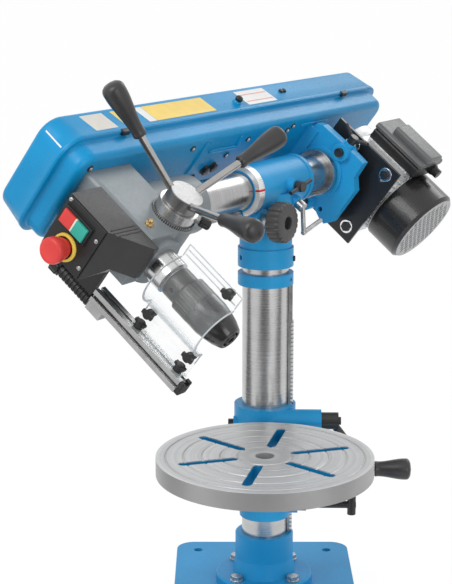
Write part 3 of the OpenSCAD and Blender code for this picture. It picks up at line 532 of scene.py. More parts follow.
def graduated(base, at, axis, mark):
    """Silver scale ring: dark strokes every five degrees, longer each thirty, and one red mark."""
    f = Finish("scale_ring", Metallic=0.6)
    _, turn = f.polar(at, axis)
    s = f.along(at, axis)
    fine = f.noise(500.0, 3)
    five = f.math("FRACT", f.times(turn, 72 / (2 * math.pi)))
    thirty = f.math("FRACT", f.times(turn, 12 / (2 * math.pi)))
    short = f.times(f.below(five, 0.13), f.above(f.math("ABSOLUTE", f.math("ADD", s, 0.003)), 0.0045))
    long_ = f.times(f.below(thirty, 0.03), f.above(s, -0.0025))
    ink = f.math("MAXIMUM", short, long_)
    off = f.math("ABSOLUTE", f.math("SUBTRACT", turn, mark))
    shade = f.mottle(fine, base, 0.86)
    shade = f.mix(f.times(ink, 0.7), shade, (0.03, 0.03, 0.03))
    f.set(Base_Color=f.mix(f.below(off, 0.045), shade, (0.6, 0.03, 0.03)),
          Roughness=f.gloss(fine, 0.28, 0.42), Normal=f.edges(0.0005)[0])
    return f.material


def knurled(name, base, at, axis, low, high):
    """Blackened steel with a straight knurl between two heights on an axis."""
    f = Finish(name, Metallic=0.85)
    _, turn = f.polar(at, axis)
    s = f.along(at, axis)
    fine = f.noise(500.0, 4)
    soft, near = f.edges(0.0007)
    teeth = f.math("SINE", f.times(turn, 60.0))
    band = f.times(f.above(s, low), f.below(s, high))
    shade = f.mottle(f.noise(50.0, 4), base, 0.75)
    f.set(Base_Color=f.mix(f.times(near, 0.5), shade, tint(base, 2.0, 0.08)),
          Roughness=f.gloss(fine, 0.26, 0.42),
          Normal=f.bump(f.times(teeth, band), 0.35, 0.0004, soft))
    return f.material


def depth_drum(base, bare, at, axis, split):
    """Black ring with pale strokes round its rim, up to a height on its axis, and satin steel beyond it."""
    ring_from = 0.0296
    f = Finish("depth_drum")
    s = f.along(at, axis)
    far, turn = f.polar(at, axis)
    steel = f.above(s, split)
    fine, marks = f.noise(500.0, 4), f.lines(1600.0, s, 2)
    soft, near = f.edges(0.0005)
    stroke = f.below(f.math("FRACT", f.times(turn, 60 / (2 * math.pi))), 0.22)
    ink = f.times(stroke, f.above(far, ring_from))
    ring = f.mix(f.times(ink, 0.7), f.mix(near, base, tint(base, 2.0, 0.04)), (0.7, 0.7, 0.7))
    f.set(Base_Color=f.mix(steel, ring, f.mottle(fine, bare, 0.85)),
          Metallic=f.fit(steel, 0.0, 1.0, 0.0, 1.0), Roughness=f.gloss(fine, 0.26, 0.40),
          Normal=f.bump(marks, 0.08, 0.0001, soft))
    return f.material


def clear_sheet(name):
    """Clear bent plastic: nearly nothing face on, pale where it turns away or shows its cut edge."""
    f = Finish(name, Base_Color=(0.86, 0.91, 0.93), Roughness=0.08, IOR=1.5)
    turn = f.add("ShaderNodeLayerWeight", {"Blend": 0.35}, "Facing")
    smear = f.fit(f.noise(30.0, 4), 0.4, 0.7, 0.0, 0.05)
    f.set(Alpha=f.math("ADD", f.fit(turn, 0.15, 1.0, 0.045, 0.66), smear))
    return f.material


def card(name, base, rough=0.5):
    """Printed film: even colour with faint fibres and dull patches."""
    f = Finish(name)
    fibre, cloud = f.noise(900.0, 3), f.noise(60.0, 3)
    f.set(Base_Color=f.mix(f.fit(cloud, 0.35, 0.7), tint(base, 0.94), base),
          Roughness=f.gloss(fibre, rough - 0.08, rough + 0.1), Normal=f.bump(fibre, 0.05, 0.00005))
    return f.material


FINISH = {}  # each finish's material, by its name


def lay_finishes(c):
    """Makes every finish once, from the chosen colours."""
    blue, grey, black, steel = tuple(c.blue), tuple(c.grey), tuple(c.black), tuple(c.steel)
    quill = head(QUILL)
    FINISH.update(
        blue_paint=enamel("blue_paint", tint(blue, 1.10, 0.016), rough=0.36, peel=0.14, grain=620.0,
                          chip=0.25, coat=0.0, shine=0.24),
        blue_sheet=enamel("blue_sheet", blue, rough=0.32, peel=0.04, edge=0.0008, chip=0.15, coat=0.0,
                          shine=0.30),
        grey_paint=enamel("grey_paint", grey, rough=0.40, peel=0.45, grain=420.0, edge=0.0014, chip=0.25,
                          coat=0.0, metallic=0.15, shine=0.3),
        bright_steel=machined("column_steel", tint(steel, 0.80), (0, 0, 0), UP, rough=0.22, pitch=1800.0,
                              mark=0.04, dull=0.96),
        ram_steel=machined("ram_steel", tint(steel, 0.66), RAM, U, pitch=2000.0, dull=0.92),
        quill_steel=machined("quill_steel", steel, quill, ZH, rough=0.20),
        steel=plated("steel", tint(steel, 0.80), rough=0.32),
        chrome=plated("chrome", (0.82, 0.82, 0.82), rough=0.14, grain=500.0, edge=0.0007, dull=0.92),
        lever=plated("lever_chrome", (0.44, 0.43, 0.42), rough=0.16, grain=500.0, edge=0.0007, dull=0.90),
        hub=plated("hub_satin", (0.30, 0.30, 0.30), rough=0.34, grain=500.0, edge=0.0007, dull=0.94),
        aluminium=plated("aluminium", (0.46, 0.46, 0.46), rough=0.34, grain=1100.0, dull=0.85),
        motor_silver=enamel("motor_silver", (0.84, 0.85, 0.86), rough=0.40, peel=0.2, grain=700.0,
                            edge=0.0008, chip=0.2, coat=0.0, metallic=0.35),
        ground_iron=ground_table((0.63, 0.63, 0.63), blue, table_axis()),
        black_metal=enamel("black_metal", black, rough=0.34, peel=0.12, edge=0.0008, chip=0.35, coat=0.1),
        black_plastic=moulded("black_plastic", tint(black, 1.1)),
        box_plastic=moulded("box_plastic", tint(black, 1.9, 0.006), rough=0.40, grain=1600.0, depth=0.18),
        lid_plastic=moulded("lid_plastic", (0.125, 0.128, 0.13), rough=0.40, edge=0.001, rub=0.15),
        grip=moulded("grip", tuple(c.grip), rough=0.34, grain=900.0, depth=0.14, edge=0.0008, rub=0.1),
        knob=moulded("knob", tint(c.grip, 1.5), rough=0.36, grain=900.0, depth=0.14, edge=0.0008, rub=0.15),
        red_plastic=moulded("red_plastic", tuple(c.red), rough=0.36, grain=1200.0, depth=0.12),
        green_plastic=moulded("green_plastic", tuple(c.green), rough=0.36, grain=1200.0, depth=0.12),
        yellow_plastic=moulded("yellow_plastic", tuple(c.yellow), rough=0.38, grain=1200.0, depth=0.12),
        dark_oxide=knurled("dark_oxide", (0.060, 0.058, 0.056), quill, ZH, low=-0.177, high=-0.164),
        nose=enamel("chuck_black", (0.012, 0.012, 0.012), rough=0.20, peel=0.03, edge=0.0008, chip=0.2,
                    coat=0.3),
        belt_rubber=moulded("belt_rubber", (0.012, 0.012, 0.012), rough=0.7, grain=2000.0, depth=0.4),
        brass=plated("brass", (0.78, 0.55, 0.24), rough=0.26, grain=600.0),
        fan_cowl=cowl_black(tint(black, 0.9), (0.36, 0.365, 0.37)),
        scale=graduated((0.82, 0.82, 0.82), arm((0, -68, 0)), U, mark=math.radians(-6.0)),
        drum=depth_drum(black, tint(steel, 0.92), head(FEED), W, split=0.0471),
        clear=clear_sheet("clear"),
        clear_rim=moulded("clear_rim", (0.50, 0.53, 0.55), rough=0.22, grain=900.0, depth=0.05),
        cream=card("cream_plate", (0.74, 0.72, 0.66)),
        plain_yellow=card("yellow_plate", (0.93, 0.68, 0.17)),
        white=card("white_plate", (0.86, 0.86, 0.85)),
        rule=card("red_rule", (0.75, 0.30, 0.28)),
        pale=card("pale_plastic", (0.80, 0.76, 0.62), rough=0.4),
    )


def table_axis():
    """The table's centre at the bench height, from its own solid."""
    low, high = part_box("table")
    return ((low[0] + high[0]) / 2, (low[1] + high[1]) / 2, 0.0)


# solids whose finish is not the one of their slot
OWN_FINISH = {"ram": "ram_steel", "quill": "quill_steel", "spindle": "quill_steel",
              "motor_body": "motor_silver", "switch_box": "box_plastic", "fan_cowl": "fan_cowl",
              "feed_shaft": "hub", "depth_ring": "drum", "feed_levers": "lever", "chuck_jaws": "dark_oxide"}


class DRILL_OT_finish_solids(bpy.types.Operator):
    """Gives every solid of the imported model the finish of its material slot, or its own"""
    bl_idname = "drill.finish_solids"
    bl_label = "Finish the solids"

    def execute(self, context):
        lay_finishes(context.scene.drill_colours)
        for row in frame["record"]["subparts"]:
            name = row["node"]
            mesh = frame["nodes"][name].data
            mesh.materials.clear()
            mesh.materials.append(FINISH[OWN_FINISH.get(name, row["material_slot"])])
        return {"FINISHED"}


# -------------------- cover and pan

def lip_ring(inset, z, rear=1.0, least=4.0):
    """The cover's outline drawn in by inset, and rear times that at its back end, at one height.

    Its corner radius shrinks with the inset, down to least."""
    x0, x1, y0, y1, r = LIP
    return at_height(round_rect(x0 + inset, x1 - inset, y0 + inset, y1 - inset * rear,
                                max(r - inset, least), 12), z)


def wall_inset(z):
    """How far the cover's wall leans in at a height: 1 mm at its foot, 6.4 mm under the top edge."""
    return 1.0 + 5.4 * (np.asarray(z, float) - WALL_FOOT) / WALL_RISE


def knuckle(y, y0, y1, z0, z1, x1):
    """One hinge knuckle as a ring of revolution from y0 to y1, with its flat leaf out to x1."""
    wall = [[2.6, y0], [2.6, y1], [4.1, y1], [4.5, y1 - 0.4], [4.5, y0 + 0.4], [4.1, y0]]
    ring = tube(wall[::-1], head((HINGE_X, y, HINGE_Z)), U, 24)
    return [ring, pad(HINGE_X, x1, y + y0, y + y1, z0, z1, 1.0, 0.4, head)]


class DRILL_OT_belt_cover(bpy.types.Operator):
    """Pressed cover over the belt: leaning walls, rolled top edge, turned foot, hinge knuckles"""
    bl_idname = "drill.belt_cover"
    bl_label = "Belt cover"

    def execute(self, context):
        s = context.scene.drill_sizes
        t, r = s.sheet / MM, s.lid_round / MM
        a = np.linspace(0.0, np.pi / 2, 8)
        top_in = wall_inset(LID_TOP - r)
        outer_in = np.concatenate([[0.0, 0.0, 0.35], wall_inset(np.array([WALL_FOOT, 110.0])),
                                   top_in + r * (1 - np.cos(a)), [top_in + r + 10.0]])
        outer_z = np.concatenate([[RIM + 0.1, 91.2, 92.2, WALL_FOOT, 110.0],
                                  LID_TOP - r + (r - 0.25) * np.sin(a), [LID_TOP]])
        inner = np.stack([outer_in + t, np.maximum(outer_z - t, RIM + 0.1)], -1)[::-1]
        both = np.concatenate([inner, np.stack([outer_in, outer_z], -1)])
        rings = np.stack([lip_ring(i, z, 1.0 + 0.6 * (z - RIM) / (LID_TOP - RIM)) for i, z in both])
        patches = [skin(head(rings), "face", "face")]
        for y in HINGES:
            patches += knuckle(y, -10.6, 10.6, 90.6, 93.4, -88.6)
        attach("belt_cover", patches, "blue_sheet", "lid", stands_for="belt_lid", sharp=40.0)
        return {"FINISHED"}


class DRILL_OT_belt_tray(bpy.types.Operator):
    """Pressed pan under the belt: rounded fold, standing lip, round and slotted openings, stiffening ribs"""
    bl_idname = "drill.belt_tray"
    bl_label = "Belt pan"

    def execute(self, context):
        s = context.scene.drill_sizes
        t, r, low = s.sheet / MM, s.pan_round / MM, PAN_FLOOR
        a = np.linspace(0.0, np.pi / 2, 8)
        foot_in, foot_z = 9.0 + r * (1 - np.sin(a)), low + r * (1 - np.cos(a))
        out_in = np.concatenate([foot_in, [9.0, 8.6, 7.6, 6.2, 0.6, 0.0]])
        out_z = np.concatenate([foot_z, [82.6, 84.4, 85.6, 86.0, 86.0, 86.5]])
        in_in = np.concatenate([[0.0, 0.6, 6.2, 8.8, 10.4, 11.0], foot_in[::-1] + t])
        in_z = np.concatenate([[87.5, 88.0, 88.0, 87.4, 85.8, 84.0], np.minimum(foot_z[::-1] + t, 83.0)])
        insets, levels = np.append(out_in, in_in), np.append(out_z, in_z)
        sides = np.stack([lip_ring(i, z, least=6.0) for i, z in zip(insets, levels)])
        patches = [skin(head(sides))]
        # the flat floor between its fold and its openings, below and above, with the openings' walls
        q = round_angles(48)
        round_hole = np.stack([33 * np.cos(q), QUILL[1] + 33 * np.sin(q)], -1)
        slot_hole = np.stack([16 * np.cos(q), MOTOR_Y + 16 * np.sin(q) + 10 * np.sign(np.sin(q + 1e-9))], -1)
        for inset, z, up in ((foot_in[0], low, False), (foot_in[0] + t, low + t, True)):
            loops = [lip_ring(inset, z, least=6.0), at_height(round_hole, z), at_height(slot_hole, z)]
            flat = np.concatenate(loops)
            tri = np.array(tessellate_polygon([k.tolist() for k in loops]))
            p, k = flat[tri[:, 0]], flat[tri[:, 1]]
            turn = np.cross(k - p, flat[tri[:, 2]] - p)[:, 2] > 0
            tri = np.where((turn == up)[:, None], tri, tri[:, ::-1])
            patches.append((head(flat), [tri]))
        for hole in (round_hole, slot_hole):
            wall = np.stack([at_height(hole[::-1], low), at_height(hole[::-1], low + t)])
            patches.append(skin(head(wall)))
        for path in ([(54, -132), (-16, -136)], [(55, -46), (31, -42), (32, -112)], [(54, 40), (-20, 44)],
                     [(50, 120), (50, 200)]):
            patches.append(bead(head([(x, y, low) for x, y in path]), 4.0, 2.4, -ZH))
        pin = [[0, -30.2], [2.4, -30.2], [2.4, 30.2], [0, 30.2]]
        for y in HINGES:
            for y0 in (-30.0, 11.0):
                patches += knuckle(y, y0, y0 + 19.0, 86.0, 88.0, -84.0)
            patches.append(turned(pin, head((HINGE_X, y, HINGE_Z)), U, 16))
        attach("belt_tray", patches, "blue_sheet", "head", stands_for="belt_pan", sharp=40.0)
        return {"FINISHED"}


class DRILL_OT_cover_plates(bpy.types.Operator):
    """Bare plates, rules, stripe and small black stops on the cover's walls"""
    bl_idname = "drill.cover_plates"
    bl_label = "Cover plates"

    def execute(self, context):
        rise = context.scene.drill_sizes.plate / MM

        def on_wall(p):
            """Width along the ram, height up the leaning wall, rise from it."""
            return head(np.stack([LIP[1] - wall_inset(p[..., 1]) + p[..., 2], p[..., 0], p[..., 1]], -1))

        for name, finish, y0, y1 in (("plate_cream", "cream", -361.0, -315.0),
                                     ("plate_yellow_small", "plain_yellow", -297.0, -272.0),
                                     ("plate_yellow", "plain_yellow", -228.0, -85.0),
                                     ("plate_strip", "white", -245.0, -229.0),
                                     ("plate_white", "white", 1.0, 79.0)):
            attach(name, [pad(y0, y1, 95.0, 128.6, -0.4, rise, 1.2, 0.12, on_wall)], finish, "lid")
        rules = [pad(4.0, 76.0, z, z + 1.8, 0.0, rise + 0.12, 0.4, 0.05, on_wall) for z in (102.0, 118.0)]
        attach("plate_rules", rules, "rule", "lid")
        # stripe down the front corner: the wall's own outline between two angles, lifted a little
        a = np.radians(np.array([-64.6, -61.0]))
        z = np.linspace(94.0, 128.0, 8)
        r = LIP[4] - wall_inset(z)[:, None]
        lay = [head(np.stack([LIP[1] - LIP[4] + (r + k) * np.cos(a), LIP[2] + LIP[4] + (r + k) * np.sin(a),
                              np.broadcast_to(z[:, None], (8, 2))], -1)) for k in (-0.3, 0.25)]
        loop = np.stack([lay[0][:, 0], lay[0][:, 1], lay[1][:, 1], lay[1][:, 0]], 1)
        attach("front_stripe", [skin(loop[:, ::-1], "face", "face")], "white", "lid")
        # black stop with its blue boss, a pair of small stops, and two clips at the lip
        at = on_wall(np.array([-20.0, 105.0, 0.0]))
        boss = [[0, -1], [7, -1], [7, 0.5], [5.6, 3.0], [5.2, 4.0], [0, 4.0]]
        stop = [[0, 3.5], [4.6, 3.5], [5.6, 5], [5.8, 7.5], [4.8, 10], [2.6, 11.4], [0, 11.8]]
        small = [[0, -0.8], [3.8, -0.8], [3.8, 2.0], [3.0, 3.4], [1.2, 4.0], [0, 4.0]]
        attach("stop_boss", [turned(boss, at, W, 32)], "blue_sheet", "lid")
        dots = [turned(stop, at, W, 32)]
        dots += [turned(small, on_wall(np.array([y, 113.0, 0.0])), W, 24) for y in (112.0, 121.0)]
        attach("cover_stops", dots, "black_plastic", "lid")
        clips = [pad(y, y + 17.0, 82.5, 89.5, -6.0, 1.6, 1.2, 0.8, on_side(LIP[1])) for y in (-318.0, 258.0)]
        attach("lip_clips", clips, "black_plastic", "head")
        return {"FINISHED"}


# -------------------- grips, knob and switch pieces

def grip_profile(length_, neck, end, bore, deep):
    """A pear: radius eases from neck to end by a smooth step, with a rolled collar and a domed end.

    Its hole has the radius bore and goes as far in as deep."""
    h = np.linspace(0.0, 1.0, 40)
    ease = np.clip((h - 0.10) / 0.72, 0, 1)
    r = neck + (end - neck) * ease ** 2 * (3 - 2 * ease)
    r += 0.5 * np.exp(-((h - 0.035) / 0.03) ** 2)
    dome = np.clip((h - 0.86) / 0.14, 0, 1)
    r = r * np.sqrt(np.clip(1 - dome ** 2.4, 0, 1))
    start = np.clip(h / 0.02, 0, 1)
    r = r * (0.90 + 0.10 * np.sqrt(np.clip(1 - (1 - start) ** 2, 0, 1)))
    body = np.stack([r, h * length_], -1)
    body[-1, 0] = 0.0
    return np.concatenate([[[0.0, deep], [bore, deep], [bore, 0.0]], body])


class DRILL_OT_grips(bpy.types.Operator):
    """Pear-shaped grips on the feed levers and the lifting crank, and the depth ring's locking screw"""
    bl_idname = "drill.grips"
    bl_label = "Grips"

    def execute(self, context):
        s = context.scene.drill_sizes
        profile = grip_profile(80.0, s.grip_neck / MM, s.grip_end / MM, 5.1, 61.0)
        lean, lever_root, grip_from = math.radians(31.4), np.array([63.6, FEED[1], FEED[2]]), 106.0
        patches = []
        for turn in (1.0, 121.0, 241.0):
            a = math.radians(turn)
            d = np.array([math.sin(lean), math.cos(lean) * math.cos(a), math.cos(lean) * math.sin(a)])
            patches.append(turned(profile, head(lever_root + grip_from * d), head_way(d), 56))
        attach("lever_grips", patches, "grip", "feed", stands_for="feed_grips")
        # locking screw of the depth ring: a ribbed neck and a fluted knob, standing out of the drum
        a = math.radians(-52.0)
        foot = head(np.array(FEED) + (53.5, 0.0, 0.0))
        out = head_way(np.array([0.0, math.cos(a), math.sin(a)]))
        ribs = [[5.6 + 0.7 * (k % 2), 28.0 + k] for k in range(7)]
        neck = [[0, 27.5], [5.6, 27.5], *ribs, [5.0, 35.2], [0, 35.2]]
        attach("depth_screw", [turned(neck, foot, out, 28)], "steel", "feed")
        knob = [[0, 34.6], [5.6, 34.6], [6.8, 35.4], [7.2, 36.6], [7.2, 47.4], [6.6, 49.2], [5.2, 50.0],
                [0, 50.0]]
        flute = turned(knob, foot, out, 96, lambda t, q: 1 - 0.10 * (q[:, :1] > 6.0) * np.abs(np.sin(7 * t)))
        attach("depth_knob", [flute], "black_plastic", "feed")
        # the crank's grip starts half its length before the middle of its solid
        low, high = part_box("crank_grip")
        start = (np.array(low) + np.array(high)) / 2 - TX * 0.028
        pear = grip_profile(56.0, 11.4, 16.2, 4.06, 50.0)
        attach("crank_handle", [turned(pear, start, TX, 56)], "grip", "crank", stands_for="crank_grip")
        return {"FINISHED"}


class DRILL_OT_ram_knob(bpy.types.Operator):
    """Hand knob of the ram: its radius swells in twenty flutes, with a flat face and a deep recess"""
    bl_idname = "drill.ram_knob"
    bl_label = "Ram knob"

    def execute(self, context):
        def lobes(t, profile):
            depth = np.clip((profile[:, :1] - 19.0) / 9.0, 0, 1) * 0.085
            return 1 - depth * (1 - np.abs(np.cos(10 * t)) ** 0.6)
        profile = [[0, 52], [7.02, 52], [7.02, 44], [23, 44], [27, 44.6], [29.2, 46.2], [30, 48.5], [30, 63],
                   [29.4, 65.4], [27.8, 67.3], [25.6, 68], [10.4, 68], [9.8, 67.5], [9.4, 66.6], [9.4, 58.0],
                   [0, 58.0]]
        knob = turned(profile, arm((0, -46.0, -44.4)), W0, 192, lobes)
        attach("ram_handknob", [knob], "knob", "ram_drive", stands_for="ram_knob", sharp=32.0)
        return {"FINISHED"}


class DRILL_OT_switch_pieces(bpy.types.Operator):
    """Stop mushroom with its yellow collar, bar between the buttons, panel screws, ribs on the box"""
    bl_idname = "drill.switch_pieces"
    bl_label = "Switch pieces"

    def execute(self, context):
        at = head((-20.0, -455.0, -5.0))
        mushroom = [[0, -10], [11, -10], [11, -6], [13, -6], [13, -0.05], [11, -0.05], [11, 8.6], [13.5, 9.0],
                    [14, 9.6], [14, 19.4], [16.4, 20.2], [17.2, 21.2], [17.5, 22.6], [17.5, 29.6],
                    [17.1, 31.4], [16.0, 32.8], [14.2, 33.5], [9.0, 34.1], [0, 34.4]]
        attach("stop_mushroom", [turned(mushroom, at, -U, 64)], "red_plastic", "estop",
               stands_for="estop_button")
        collar = [[14.7, 2.4], [18.4, 2.4], [18.9, 3.0], [18.6, 5.6], [17.7, 6.6], [15.6, 6.8], [14.7, 6.0]]
        attach("stop_collar", [tube(collar, at, -U, 64)], "yellow_plastic", "head")
        bar = pad(6.6, 26.4, -2.9, -0.1, 0.0, 7.0, 0.3, 0.25, on_front(PANEL_FRONT))
        attach("switch_bar", [bar], "pale", "head")
        dome = [[0, -2.0], [1.9, -2.0], [1.9, 0.05], [3.3, 0.05], [3.2, 1.0], [2.5, 1.8], [1.3, 2.1],
                [1.1, 1.4], [0, 1.4]]
        screws = [turned(dome, head((x, PANEL_FRONT, z)), -U, 20)
                  for x, z in ((37, 23), (-37, 23), (-26, -37), (21, -37))]
        attach("panel_screws", screws, "aluminium", "head")
        ribs = [bead(head([(42.0, -450.0, z), (42.0, -400.0, z - 1.0)]), 1.1, 0.8, W)
                for z in (-42.0, -47.4, -52.6)]
        attach("box_ribs", ribs, "box_plastic", "head")
        return {"FINISHED"}


# -------------------- fasteners and fittings

def hex_bolt(af, h, washer, at, axis):
    """A washer ring, a six-sided head with a chamfered top, and a low boss in its middle."""
    c = af / math.sqrt(3)
    plain = turned([[0, -0.4], [washer, -0.4], [washer, 1.1], [washer - 0.4, 1.5], [0, 1.5]], at, axis, 36)
    top = turned([[0, 1.4], [c, 1.4], [c, h - 0.8], [c * 0.88, h], [0, h]], at, axis, 6)
    boss = turned([[0, h - 0.3], [c * 0.42, h - 0.3], [c * 0.40, h + 0.4], [0, h + 0.4]], at, axis, 24)
    return plain, top, boss


class DRILL_OT_fasteners(bpy.types.Operator):
    """Screws and bolts under the pan, bolts of the motor plate, grease plug and set screw"""
    bl_idname = "drill.fasteners"
    bl_label = "Fasteners"

    def execute(self, context):
        cup = [[0, -0.5], [5.2, -0.5], [5.2, 0.8], [4.6, 1.4], [3.6, 1.6], [3.4, 0.9], [0, 0.9]]
        button = [[0, 0.4], [2.9, 0.4], [2.8, 1.8], [2.0, 2.8], [1.0, 3.1], [0.8, 2.5], [0, 2.5]]
        spots = [(47.5, -394.0), (46.0, -164.0), (16.5, -54.5), (-17.3, -111.9), (42.8, -20.4), (45.5, 86.0),
                 (53.0, 96.0), (-60.0, -396.0)]
        under = [head((x, y, PAN_FLOOR)) for x, y in spots]
        attach("pan_cups", [turned(cup, p, -ZH, 24) for p in under], "black_metal", "head")
        attach("pan_buttons", [turned(button, p, -ZH, 20) for p in under], "steel", "head")
        pair = [q for x, y in ((-6.0, -92.0), (-2.6, -75.0))
                for q in hex_bolt(13.0, 6.5, 8.5, head((x, y, PAN_FLOOR)), -ZH)]
        attach("pan_bolts", pair, "black_metal", "head", sharp=25.0)
        wide, heads = [], []
        for x, z in ((59.0, -79.0), (-52.0, -79.0), (58.5, -8.0)):
            ring, top, boss = hex_bolt(14.0, 5.2, 11.0, head((x, PLATE_FRONT, z)), -U)
            wide.append(ring)
            heads += [top, boss]
        attach("plate_washers", wide, "chrome", "motor")
        attach("plate_bolts", heads, "black_metal", "motor", sharp=25.0)
        plug = [[0, -0.5], [5.6, -0.5], [5.6, 2.6], [4.9, 3.0], [3.2, 3.2], [3.0, 5.0], [3.9, 6.2],
                [3.7, 7.8], [2.0, 9.2], [0, 9.6]]
        attach("grease_plug", [turned(plug, head((42.0, -376.0, -47.0)), W, 24)], "brass", "head")
        # set screw in the arm's sleeve, standing out square to the column
        socket = [[0, -2.0], [4.2, -2.0], [4.2, 3.4], [3.7, 4.0], [2.3, 4.0], [2.2, 2.0], [0, 2.0]]
        side = np.array([math.cos(math.radians(-8.0)), math.sin(math.radians(-8.0)), 0.0])
        where = np.array([0.0, 0.0, 0.557]) + 0.0405 * side
        attach("sleeve_screw", [turned(socket, where, side, 24)], "black_metal", "arm")
        return {"FINISHED"}


class DRILL_OT_fittings(bpy.types.Operator):
    """Scale ring of the barrel, rims of the clear shield, end cap of its bar, chuck nose, connection box"""
    bl_idname = "drill.fittings"
    bl_label = "Fittings"

    def execute(self, context):
        band = [[37.55, -5.05], [37.55, 6.2], [37.8, 6.2], [38.1, 5.9], [38.1, -7.3], [37.6, -7.8],
                [30.4, -7.8], [30.4, -7.05], [36.05, -7.05], [36.05, -5.05]]
        ring = tube(band[::-1], arm((0, -68.0, 0)), U, 120, (106.0, 434.0))
        attach("scale_ring", [ring], "scale", "arm")
        # rims of the shield: half rings at its top and foot, and lines on its two flanges
        a = np.linspace(np.pi, 2 * np.pi, 33)
        rims = [bead(head(np.stack([40.0 * np.cos(a), -366.0 + 40.0 * np.sin(a), np.full(33, z)], -1)),
                     1.7, 1.3, k * ZH) for z, k in ((-106.0, 1.0), (-206.0, -1.0))]
        lines = ([(41.0, -106.6), (62.2, -106.6), (62.2, -205.4), (41.0, -205.4)],
                 [(47.5, -108.0), (47.5, -204.0)], [(55.0, -108.0), (55.0, -182.0)],
                 [(-41.0, -106.6), (-58.5, -106.6)], [(-41.0, -205.4), (-58.5, -205.4)])
        rims += [bead(head([(x, -368.0, z) for x, z in line]), 0.8, 0.7, -U) for line in lines]
        attach("shield_rims", rims, "clear_rim", "guard")
        # the cap is open along the bar's slot, so that the clamp's nut can slide past it
        cap = [pad(xa, xb, ya, yb, -219.6, -212.02, 2.4, 1.4, head) for xa, xb, ya, yb in (
            (-97.0, -82.4, -391.0, -371.0), (-83.0, -77.0, -391.0, -385.8), (-83.0, -77.0, -376.2, -371.0))]
        attach("bar_end_cap", cap, "black_plastic", "guard_arm")
        # nose of the chuck, over the drawn-in jaws
        nose = [[12.05, -164.0], [26.2, -164.0], [26.5, -164.4], [26.5, -183.0], [26.0, -186.0],
                [24.6, -195.0], [21.6, -208.0], [17.8, -217.6], [16.6, -219.8], [15.2, -220.9],
                [13.4, -221.3], [12.6, -221.0], [12.05, -220.2]]
        front = tube(nose[::-1], head(QUILL), ZH, 72)
        attach("chuck_front", [front], "nose", "spindle", stands_for="chuck_nose", sharp=30.0)
        # connection box on the motor with its cable gland, and its lid in two steps, out from one face
        x0 = 67.0
        lower = [pad(x0, x0 + 19.0, 228.0, 300.0, -104.0, -6.0, 5.0, 1.6, head)]
        gland = [[0, -16.0], [7.5, -16.0], [7.5, -9.0], [8.2, -6.5], [9.0, -6.0], [9.0, 0.4], [0, 0.4]]
        hole = head((x0 + 14.0, 278.0, -104.0))
        lower.append(turned(gland, hole, ZH, 32))
        attach("connection_box", lower, "black_plastic", "motor", stands_for="terminal_box")
        upper = [pad(x0 + 18.5, x0 + 30.0, 226.5, 301.5, -105.5, -4.5, 6.0, 2.6, head),
                 pad(x0 + 28.0, x0 + 42.0, 238.0, 280.0, -108.0, -30.0, 5.0, 3.0, head)]
        attach("connection_lid", upper, "lid_plastic", "motor")
        return {"FINISHED"}


# -------------------- studio

WHITE = (1.0, 1.0, 1.0, 1.0)
FLOOR_SHADE = (0.82, 0.82, 0.82, 1.0)
FLOOR_GLOW = 1.07
FLOOR_HALF = 40.0
SHADOW_SHARE = 0.14
CARD_SHADE = (0.12, 0.12, 0.12, 1.0)
AIM = (0.0, -0.1, 0.55)
EYE, EYE_TILT = (-0.05966, -2.3516, 1.0512), 76.9
# lamps: name, place, width; cards: name and two opposite corners
LAMPS = (("key", (-1.5, -2.1, 2.7), 2.0), ("sheen", (1.35, 1.64, 2.18), 1.3), ("fill", (1.0, -2.6, 0.9), 1.4))
CARDS = (("card_front", (-0.9, -3.3, 0.01), (0.6, -0.8, 0.01)),
         ("card_left", (-3.2, -0.35, 0.01), (-0.8, 0.45, 0.01)),
         ("card_right", (0.9, -1.0, 0.01), (3.2, -0.2, 0.01)),
         ("card_back", (-1.6, -3.4, 0.1), (1.3, -3.4, 2.3)))


def wire(tree, *pairs):
    """Links each pair of an output and an input."""
    for a, b in pairs:
        tree.links.new(a, b)


def seen(tree):
    """One where the ray comes from the camera, a mirror or a clear sheet."""
    path = tree.nodes.new("ShaderNodeLightPath")
    total = path.outputs["Is Camera Ray"]
    for name in ("Is Glossy Ray", "Is Transmission Ray"):
        n = tree.nodes.new("ShaderNodeMath")
        n.operation, n.use_clamp = "ADD", True
        wire(tree, (total, n.inputs[0]), (path.outputs[name], n.inputs[1]))
        total = n.outputs[0]
    return total


def stand(scene, name, points, faces, material):
    """A flat piece of the studio."""
    mesh = bpy.data.meshes.new(name)
    mesh.from_pydata(points, [], faces)
    mesh.materials.append(material)
    obj = bpy.data.objects.new(name, mesh)
    scene.collection.objects.link(obj)
    return obj


def lay_surround(scene, strength):
    """An even sky that lights the machine, and plain white where it is seen."""
    scene.world = scene.world or bpy.data.worlds.new("studio")
    t = empty_tree(scene.world)
    sky, white, mix, out = (t.nodes.new("ShaderNode" + k) for k in (
        "Background", "Background", "MixShader", "OutputWorld"))
    for node, level in ((sky, strength), (white, 1.0)):
        node.inputs["Color"].default_value = WHITE
        node.inputs["Strength"].default_value = level
    wire(t, (seen(t), mix.inputs[0]), (sky.outputs[0], mix.inputs[1]), (white.outputs[0], mix.inputs[2]),
         (mix.outputs[0], out.inputs[0]))


